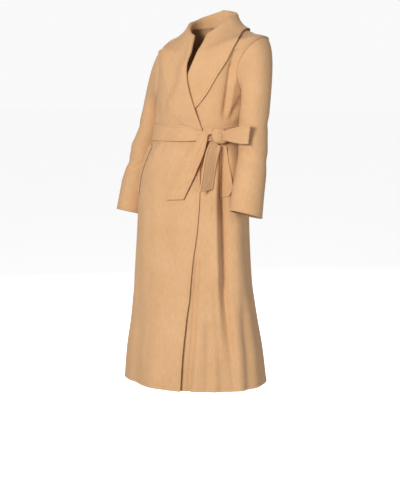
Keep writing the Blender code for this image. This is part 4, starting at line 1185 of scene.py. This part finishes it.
def knotFrame():
    normal = plainNormal(knot["turn"], cloth["waistRise"])
    out = unit(normal * (1.0, 1.0, 0.0))
    middle = plainPoint(knot["turn"], cloth["waistRise"] - knot["drop"]) + out * knot["lift"]
    return middle, np.cross(up, out), out


# A place on the wrap; angle 0 faces outwards, 90 towards the wearer's right.
def knotPoint(angle, height, out):
    middle, across, ahead = knotFrame()
    cut = read(knot["sections"], height)
    s, c = -np.sin(np.radians(angle)), np.cos(np.radians(angle))
    reach = ovalReach(s, c, cut["halfAcross"], cut["halfDeep"], cut["square"]) + out
    place = middle + across * (cut["shift"] + reach * s)[..., None]
    return place + ahead * (reach * c)[..., None] + up * (height + 0 * reach)[..., None]


def makeKnot():
    steps = np.sin(np.radians(np.linspace(-90.0, 90.0, knot["rows"])))
    height = (steps * knot["halfHeight"])[:, None]
    angle = np.linspace(0.0, 360.0, knot["around"] + 1)[None, :-1] + 0 * height
    fold = 0.0
    for crease in knot["creases"]:
        middle = crease["angle"] + crease["slant"] * height / knot["halfHeight"]
        away = turnBetween(angle, middle) / crease["half"]
        fade = 1 - (height / knot["halfHeight"]) ** 4
        fold = fold + crease["depth"] * hump(away) * fade
    strand = knot["strand"]
    edge = strand["angle"] + strand["slant"] * height / knot["halfHeight"]
    past, pastEnd = turnBetween(angle, edge), turnBetween(angle, strand["endAngle"])
    over = smooth(past, -strand["half"], strand["half"])
    over = over * (1 - smooth(pastEnd, -strand["endHalf"], strand["endHalf"]))
    over = over * (past > -strand["reach"])
    under = hump(turnBetween(angle, edge - strand["half"]) / strand["half"])
    fold = fold + strand["thick"] * over - strand["groove"] * under
    outer = knotPoint(angle, height, fold)
    bottom, top = outer[0].mean(axis=0), outer[-1].mean(axis=0)
    bottom[2], top[2] = bottom[2] - knot["cap"], top[2] + knot["cap"]
    points = np.concatenate((outer.reshape(-1, 3), (bottom, top)))
    rows, count, last = len(outer), knot["around"], len(points) - 1
    faces, uvs = [], []
    for i in range(-1, rows):
        for k in range(count):
            onward = (k + 1) % count
            low = [last - 1] if i < 0 else [i * count + k, i * count + onward]
            high = [(i + 1) * count + onward, (i + 1) * count + k] if i < rows - 1 else [last]
            faces.append((low + high)[::-1])
            uvs += [(knot["halfHeight"] * (i + (n > 1)) / rows * 2, k * knot["uvStep"])
                    for n in range(len(low + high))]
    piece = clothPiece("beltKnotCloth", points, faces, uvs)
    finish(piece, "belt_knot")


bow = {
    "direction": (1.0, -0.24, 0.06),
    "path": table(
        ("step", "reach", "depth", "halfWidth", "slant"),
        (
            (0.0, 0.0181, 0.0045, 0.0135, 0.00),
            (1.0, 0.0380, 0.0080, 0.0165, 0.02),
            (2.0, 0.0680, 0.0100, 0.0225, 0.08),
            (3.0, 0.0950, 0.0095, 0.0265, 0.14),
            (4.0, 0.1170, 0.0070, 0.0285, 0.20),
            (4.5, 0.1250, 0.0038, 0.0285, 0.22),
            (5.0, 0.1275, 0.0000, 0.0285, 0.22),
            (5.5, 0.1250, -0.0038, 0.0285, 0.22),
            (6.0, 0.1170, -0.0066, 0.0285, 0.20),
            (7.0, 0.0950, -0.0080, 0.0265, 0.14),
            (8.0, 0.0680, -0.0070, 0.0225, 0.08),
            (9.0, 0.0380, -0.0050, 0.0165, 0.02),
            (10.0, 0.0191, -0.0020, 0.0135, 0.00),
        ),
    ),
    "stations": 90,
    # pleats where the loop leaves the knot: place across it, its change along it, half width
    "pleats": named(
        ("place", "change", "half", "height"),
        (
            (-0.45, 0.0, 0.30, 0.0016),
            (-0.12, 1.6, 0.17, -0.0042),
            (-0.50, 0.5, 0.15, -0.0042 * 0.6),
        ),
    ),
    "pleatReach": 0.26,       # share of the loop's length
    "flat": (0.056, 0.24), "area": 0.0125,
}


def makeBow():
    middle, _, _ = knotFrame()
    along = unit(np.array(bow["direction"]))
    front = unit(np.cross(along, up))
    at = read(bow["path"], np.linspace(0.0, 10.0, bow["stations"]))
    middles = middle + along * at["reach"][:, None] + front * at["depth"][:, None]
    sides = np.cross(front, along) + along * at["slant"][:, None]

    def pleats(place, f):
        near = hump(f / bow["pleatReach"]) + hump((1 - f) / bow["pleatReach"])
        height = 0.0
        for pleat in bow["pleats"]:
            away = (place - pleat["place"] - pleat["change"] * f) / pleat["half"]
            height = height + pleat["height"] * hump(away)
        return near * height

    piece = ribbon("beltBowLoopCloth", middles, sides, at["halfWidth"], pleats)
    finish(piece, "belt_bow_loop")


tailColumns = ("step", "turn", "rise", "lift", "halfWidth", "twist")
# Both tails' pleats: how far along they reach, then place across, half width, share of depth.
tailPleats = {"reach": 0.40, "valley": (0.35, 0.14, 1.0), "ridge": (0.62, 0.18, -0.4)}
tails = {
    "belt_tail_long": {
        "stations": 110, "flat": (0.056, 0.29), "area": 0.0150,
        "endSlant": -0.015, "pleat": -0.0034,
        "path": table(tailColumns, (
            (0.0, 47.9, 0.8712, 0.0245, 0.0080, 0.0),
            (1.0, 43.2, 0.8706, 0.0220, 0.0095, 0.0),
            (2.0, 39.3, 0.8590, 0.0198, 0.0115, 0.0),
            (3.0, 37.4, 0.8330, 0.0190, 0.0160, 0.0),
            (4.0, 35.0, 0.8100, 0.0175, 0.0195, -2.0),
            (5.0, 31.6, 0.7895, 0.0165, 0.0225, -3.0),
            (6.0, 26.6, 0.7583, 0.0150, 0.0250, -4.0),
            (7.0, 18.2, 0.7037, 0.0120, 0.0275, 0.0),
            (8.0, 8.4, 0.6457, 0.0110, 0.0280, 2.0),
        )),
    },
    "belt_tail_short": {
        "stations": 60, "flat": (0.056, 0.17), "area": 0.0090,
        "endSlant": -0.007, "pleat": -0.0014,
        "path": table(tailColumns, (
            (0.0, 55.0, 0.8233, 0.0190, 0.0150, -8.0),
            (1.0, 50.6, 0.7980, 0.0270, 0.0240, -34.0),
            (2.0, 48.0, 0.7536, 0.0310, 0.0275, -44.0),
            (3.0, 46.8, 0.7119, 0.0310, 0.0280, -46.0),
            (4.0, 45.6, 0.6780, 0.0300, 0.0280, -46.0),
        )),
    },
}


def makeTail(name):
    tail = tails[name]
    count = tail["stations"]
    at = read(tail["path"], np.linspace(0.0, tail["path"]["keys"][-1], count))
    normals = plainNormal(at["turn"], at["rise"])
    middles = plainPoint(at["turn"], at["rise"]) + normals * at["lift"][:, None]
    run = unit(np.gradient(middles, axis=0))
    sides = unit(np.cross(normals, run))
    facing = unit(np.cross(run, sides))
    twist = np.radians(at["twist"])[:, None]
    sides = sides * np.cos(twist) + facing * np.sin(twist)

    def pleats(place, f):
        height = 0.0
        for middle, half, share in (tailPleats["valley"], tailPleats["ridge"]):
            height = height + share * tail["pleat"] * hump((place - middle) / half)
        return hump(f / tailPleats["reach"]) * height

    piece = ribbon(clothName(name), middles, sides, at["halfWidth"], pleats,
                   endSlant=tail["endSlant"])
    finish(piece, name)


makeBand()
makeKnot()
makeBow()
for name in tails:
    makeTail(name)
print("belt made")


welt = {
    "table": table(
        ("along", "frontTurn", "frontRise", "backTurn", "backRise"),
        (
            (0.00, 60.5, 0.648, 69.4, 0.660),
            (0.15, 60.3, 0.672, 72.6, 0.684),
            (0.40, 60.0, 0.715, 71.4, 0.716),
            (0.70, 59.5, 0.765, 69.3, 0.757),
            (1.00, 58.8, 0.816, 66.8, 0.820),
        ),
    ),
    "long": 0.17,
    "wide": 0.034,
    "rows": 60,
    "across": 30,
    "wall": 0.0024,
    "open": 0.0025,           # how far the pocket's mouth gapes
    "gaps": 1.3,              # trim gaps between the welt and the front
    "edge": 0.7,              # share of a front's felled edge
    "flat": (0.040, 0.18),
    "area": 0.0062,
}


def makeWelt(name, side):
    long, wide = welt["long"], welt["wide"]
    along = (spread(long, welt["rows"]) / long)[:, None]
    across = (spread(wide, welt["across"]) / wide)[None, :]
    at = read(welt["table"], along)
    turn = side * between(at["frontTurn"], at["backTurn"], across)
    rise = between(at["frontRise"], at["backRise"], across)
    lift = cloth["trimGap"] * welt["gaps"] + welt["open"] * across ** 2 + welt["wall"]
    edge = felledEdge(np.minimum((1 - across) * wide, across * wide)) + felledEdge(along * long)
    outer = coatPoint(turn, rise, lift + edge * welt["edge"], onTop=side < 0)
    inner = coatPoint(turn, rise, lift - welt["wall"], onTop=side < 0)
    piece = makeShell(clothName(name), outer, welt["wall"],
                      flip=side < 0, inner=inner)
    finish(piece, name)


makeWelt("left_pocket", 1)
makeWelt("right_pocket", -1)
print("welts made")


# Lays one stitch every so far along each line, uneven as handwork is.
def stitchNodes():
    tree = bpy.data.node_groups.new("edgeSewing", "GeometryNodeTree")
    tree.interface.new_socket("Geometry", in_out="INPUT", socket_type="NodeSocketGeometry")
    for name in ("Spacing", "Length", "Width", "Height"):
        tree.interface.new_socket(name, in_out="INPUT", socket_type="NodeSocketFloat")
    tree.interface.new_socket("Seed", in_out="INPUT", socket_type="NodeSocketInt")
    tree.interface.new_socket("Thread", in_out="INPUT", socket_type="NodeSocketMaterial")
    tree.interface.new_socket("Geometry", in_out="OUTPUT", socket_type="NodeSocketGeometry")
    given = addNode(tree, "NodeGroupInput").outputs
    shortest, longest = stitch["uneven"]
    lines = addNode(tree, "GeometryNodeMeshToCurve", {"Mesh": given["Geometry"]})
    spaced = addNode(tree, "GeometryNodeResampleCurve",
                     {"Curve": lines.outputs[0], "Length": given["Spacing"]}, mode="LENGTH")
    tangent = addNode(tree, "GeometryNodeInputTangent")
    out = addNode(tree, "GeometryNodeInputNamedAttribute", {"Name": "out"},
                  data_type="FLOAT_VECTOR")
    along = addNode(tree, "FunctionNodeAlignRotationToVector",
                    {"Vector": tangent.outputs[0]}, axis="X")
    facing = addNode(tree, "FunctionNodeAlignRotationToVector",
                     {"Rotation": along.outputs[0], "Vector": out.outputs["Attribute"]},
                     axis="Z", pivot_axis="X")
    # sockets 2, 3 and the second output are this node's single numbers
    uneven = addNode(tree, "FunctionNodeRandomValue",
                     {2: shortest, 3: longest, "Seed": given["Seed"]}, data_type="FLOAT")
    length = addNode(tree, "ShaderNodeMath",
                     {0: given["Length"], 1: uneven.outputs[1]}, operation="MULTIPLY")
    size = addNode(tree, "ShaderNodeCombineXYZ",
                   {"X": length.outputs[0], "Y": given["Width"], "Z": given["Height"]})
    bead = addNode(tree, "GeometryNodeMeshUVSphere", {"Segments": 6, "Rings": 4, "Radius": 0.5})
    laid = addNode(tree, "GeometryNodeInstanceOnPoints",
                   {"Points": spaced.outputs[0], "Instance": bead.outputs[0],
                    "Rotation": facing.outputs[0], "Scale": size.outputs[0]})
    real = addNode(tree, "GeometryNodeRealizeInstances", {"Geometry": laid.outputs[0]})
    last = addNode(tree, "GeometryNodeSetMaterial",
                   {"Geometry": real.outputs[0], "Material": given["Thread"]})
    addNode(tree, "NodeGroupOutput", {"Geometry": last.outputs[0]})
    return tree


def makeStitches():
    points = np.concatenate([line for line, _ in stitchLines])
    out = np.concatenate([way for _, way in stitchLines])
    edges, start = [], 0
    for line, _ in stitchLines:
        edges += [(start + k, start + k + 1) for k in range(len(line) - 1)]
        start += len(line)
    mesh = bpy.data.meshes.new("edgeStitchLines")
    mesh.from_pydata((points + out * stitch["height"] * stitch["lift"]).tolist(), edges, [])
    layer = mesh.attributes.new("out", "FLOAT_VECTOR", "POINT")
    layer.data.foreach_set("vector", out.reshape(-1).astype(np.float32))
    guide = addObject("edgeStitchLines", mesh)
    tree = stitchNodes()
    modifier = guide.modifiers.new("sewing", "NODES")
    modifier.node_group = tree
    values = {name.capitalize(): stitch[name]
              for name in ("spacing", "length", "width", "height", "seed")}
    values["Thread"] = thread
    for socket in tree.interface.items_tree:
        if socket.in_out == "INPUT" and socket.name in values:
            modifier[socket.identifier] = values[socket.name]
    graph = bpy.context.evaluated_depsgraph_get()
    sewn = bpy.data.meshes.new_from_object(guide.evaluated_get(graph))
    bpy.data.objects.remove(guide)
    sewn.name = "edgeStitches"
    sewn.shade_smooth()
    piece = addObject("edgeStitches", sewn)
    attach(piece, "root")


makeStitches()
print("stitches made")


stage = {
    "floorZ": -1.540,         # where the wearer's shoes would stand
    "floorSize": 60.0,
    "floorShades": ("#E8E8E8", "#EBEBEB"),
    "floorGrain": 3.0,
    "floorRoughness": 0.9,
    "floorGlow": 0.64,
    "backdrop": 0.95,
    "ambient": 0.36,
    # area lights: name, turn round the coat, height, distance, size, watts, colour
    "lights": (
        ("keyLight", 6.0, 0.35, 3.6, 1.0, 122.0, "#FFFAF2"),
        ("frontFill", 80.0, 0.0, 4.2, 1.6, 30.0, "#FFFFFF"),
        ("backLight", 222.0, 0.9, 3.6, 1.2, 90.0, "#FFFFFF"),
    ),
    "lightTarget": (-0.02, -0.02, -0.55),
    "cameraTurn": 30.0,
    "cameraAway": 4.0,
    "cameraZ": -0.2,
    "cameraSide": -0.0444,
    "pixels": (400, 500),
    "focalPixels": 1172.0,
    "horizonPixel": 88.6,
    "sensor": 36.0,           # millimetres high
}


def makeFloor():
    size, z = stage["floorSize"], stage["floorZ"]
    mesh = bpy.data.meshes.new("floor")
    corners = [(-size, -size, z), (size, -size, z), (size, size, z), (-size, size, z)]
    mesh.from_pydata(corners, [], [(0, 1, 2, 3)])
    material, tree, shader, place = newMaterial("paleStudioFloor")
    grain = addNode(tree, "ShaderNodeTexNoise",
                    {"Vector": place.outputs["Object"], "Scale": stage["floorGrain"]})
    dark, light = stage["floorShades"]
    colour = addNode(tree, "ShaderNodeMix",
                     {"Factor": grain.outputs[0], 6: linear(dark), 7: linear(light)},
                     data_type="RGBA")
    tree.links.new(colour.outputs[2], shader.inputs["Base Color"])
    shader.inputs["Roughness"].default_value = stage["floorRoughness"]
    shader.inputs["Emission Color"].default_value = (1.0, 1.0, 1.0, 1.0)
    shader.inputs["Emission Strength"].default_value = stage["floorGlow"]
    mesh.materials.append(material)
    floor = addObject("floor", mesh)
    floor.visible_diffuse = False      # the pale ground doesn't flatten the folds from below


def makeLight(name, turn, height, away, size, power, colour):
    lamp = bpy.data.lights.new(name, "AREA")
    lamp.shape, lamp.size, lamp.energy = "DISK", size, power
    lamp.color = linear(colour)[:3]
    light = addObject(name, lamp)
    angle = math.radians(turn)
    place = Vector((math.sin(angle) * away, -math.cos(angle) * away, height))
    aim = Vector(stage["lightTarget"]) - place
    light.location = place
    light.rotation_euler = aim.to_track_quat("-Z", "Y").to_euler()


def makeCamera():
    turn = math.radians(stage["cameraTurn"])
    width, height = stage["pixels"]
    focal = stage["focalPixels"]
    pitch = math.atan((height / 2 - stage["horizonPixel"]) / focal)
    lens = bpy.data.cameras.new("camera")
    lens.sensor_fit = "VERTICAL"
    lens.sensor_height = stage["sensor"]
    lens.lens = focal * lens.sensor_height / height
    camera = addObject("camera", lens)
    back = Vector((math.sin(turn), -math.cos(turn), 0.0)) * stage["cameraAway"]
    aside = Vector((math.cos(turn), math.sin(turn), 0.0)) * stage["cameraSide"]
    camera.location = back + aside + Vector((0.0, 0.0, stage["cameraZ"]))
    level = math.cos(pitch)
    look = Vector((-math.sin(turn) * level, math.cos(turn) * level, -math.sin(pitch)))
    camera.rotation_euler = look.to_track_quat("-Z", "Y").to_euler()
    bpy.context.scene.camera = camera


def makeWorld():
    world = bpy.data.worlds.new("studio")
    world.use_nodes = True
    tree = world.node_tree
    background = tree.nodes["Background"]
    background.inputs["Color"].default_value = (1.0, 1.0, 1.0, 1.0)
    # the backdrop is lit by itself, brighter than the light that it sends to the coat
    ray = addNode(tree, "ShaderNodeLightPath")
    strength = addNode(tree, "ShaderNodeMath",
                       {0: ray.outputs["Is Camera Ray"], 1: stage["backdrop"] - stage["ambient"],
                        2: stage["ambient"]}, operation="MULTIPLY_ADD")
    tree.links.new(strength.outputs[0], background.inputs["Strength"])
    bpy.context.scene.world = world


makeFloor()
for light in stage["lights"]:
    makeLight(*light)
makeCamera()
makeWorld()
bpy.context.scene.view_settings.view_transform = "Standard"
print("stage made")
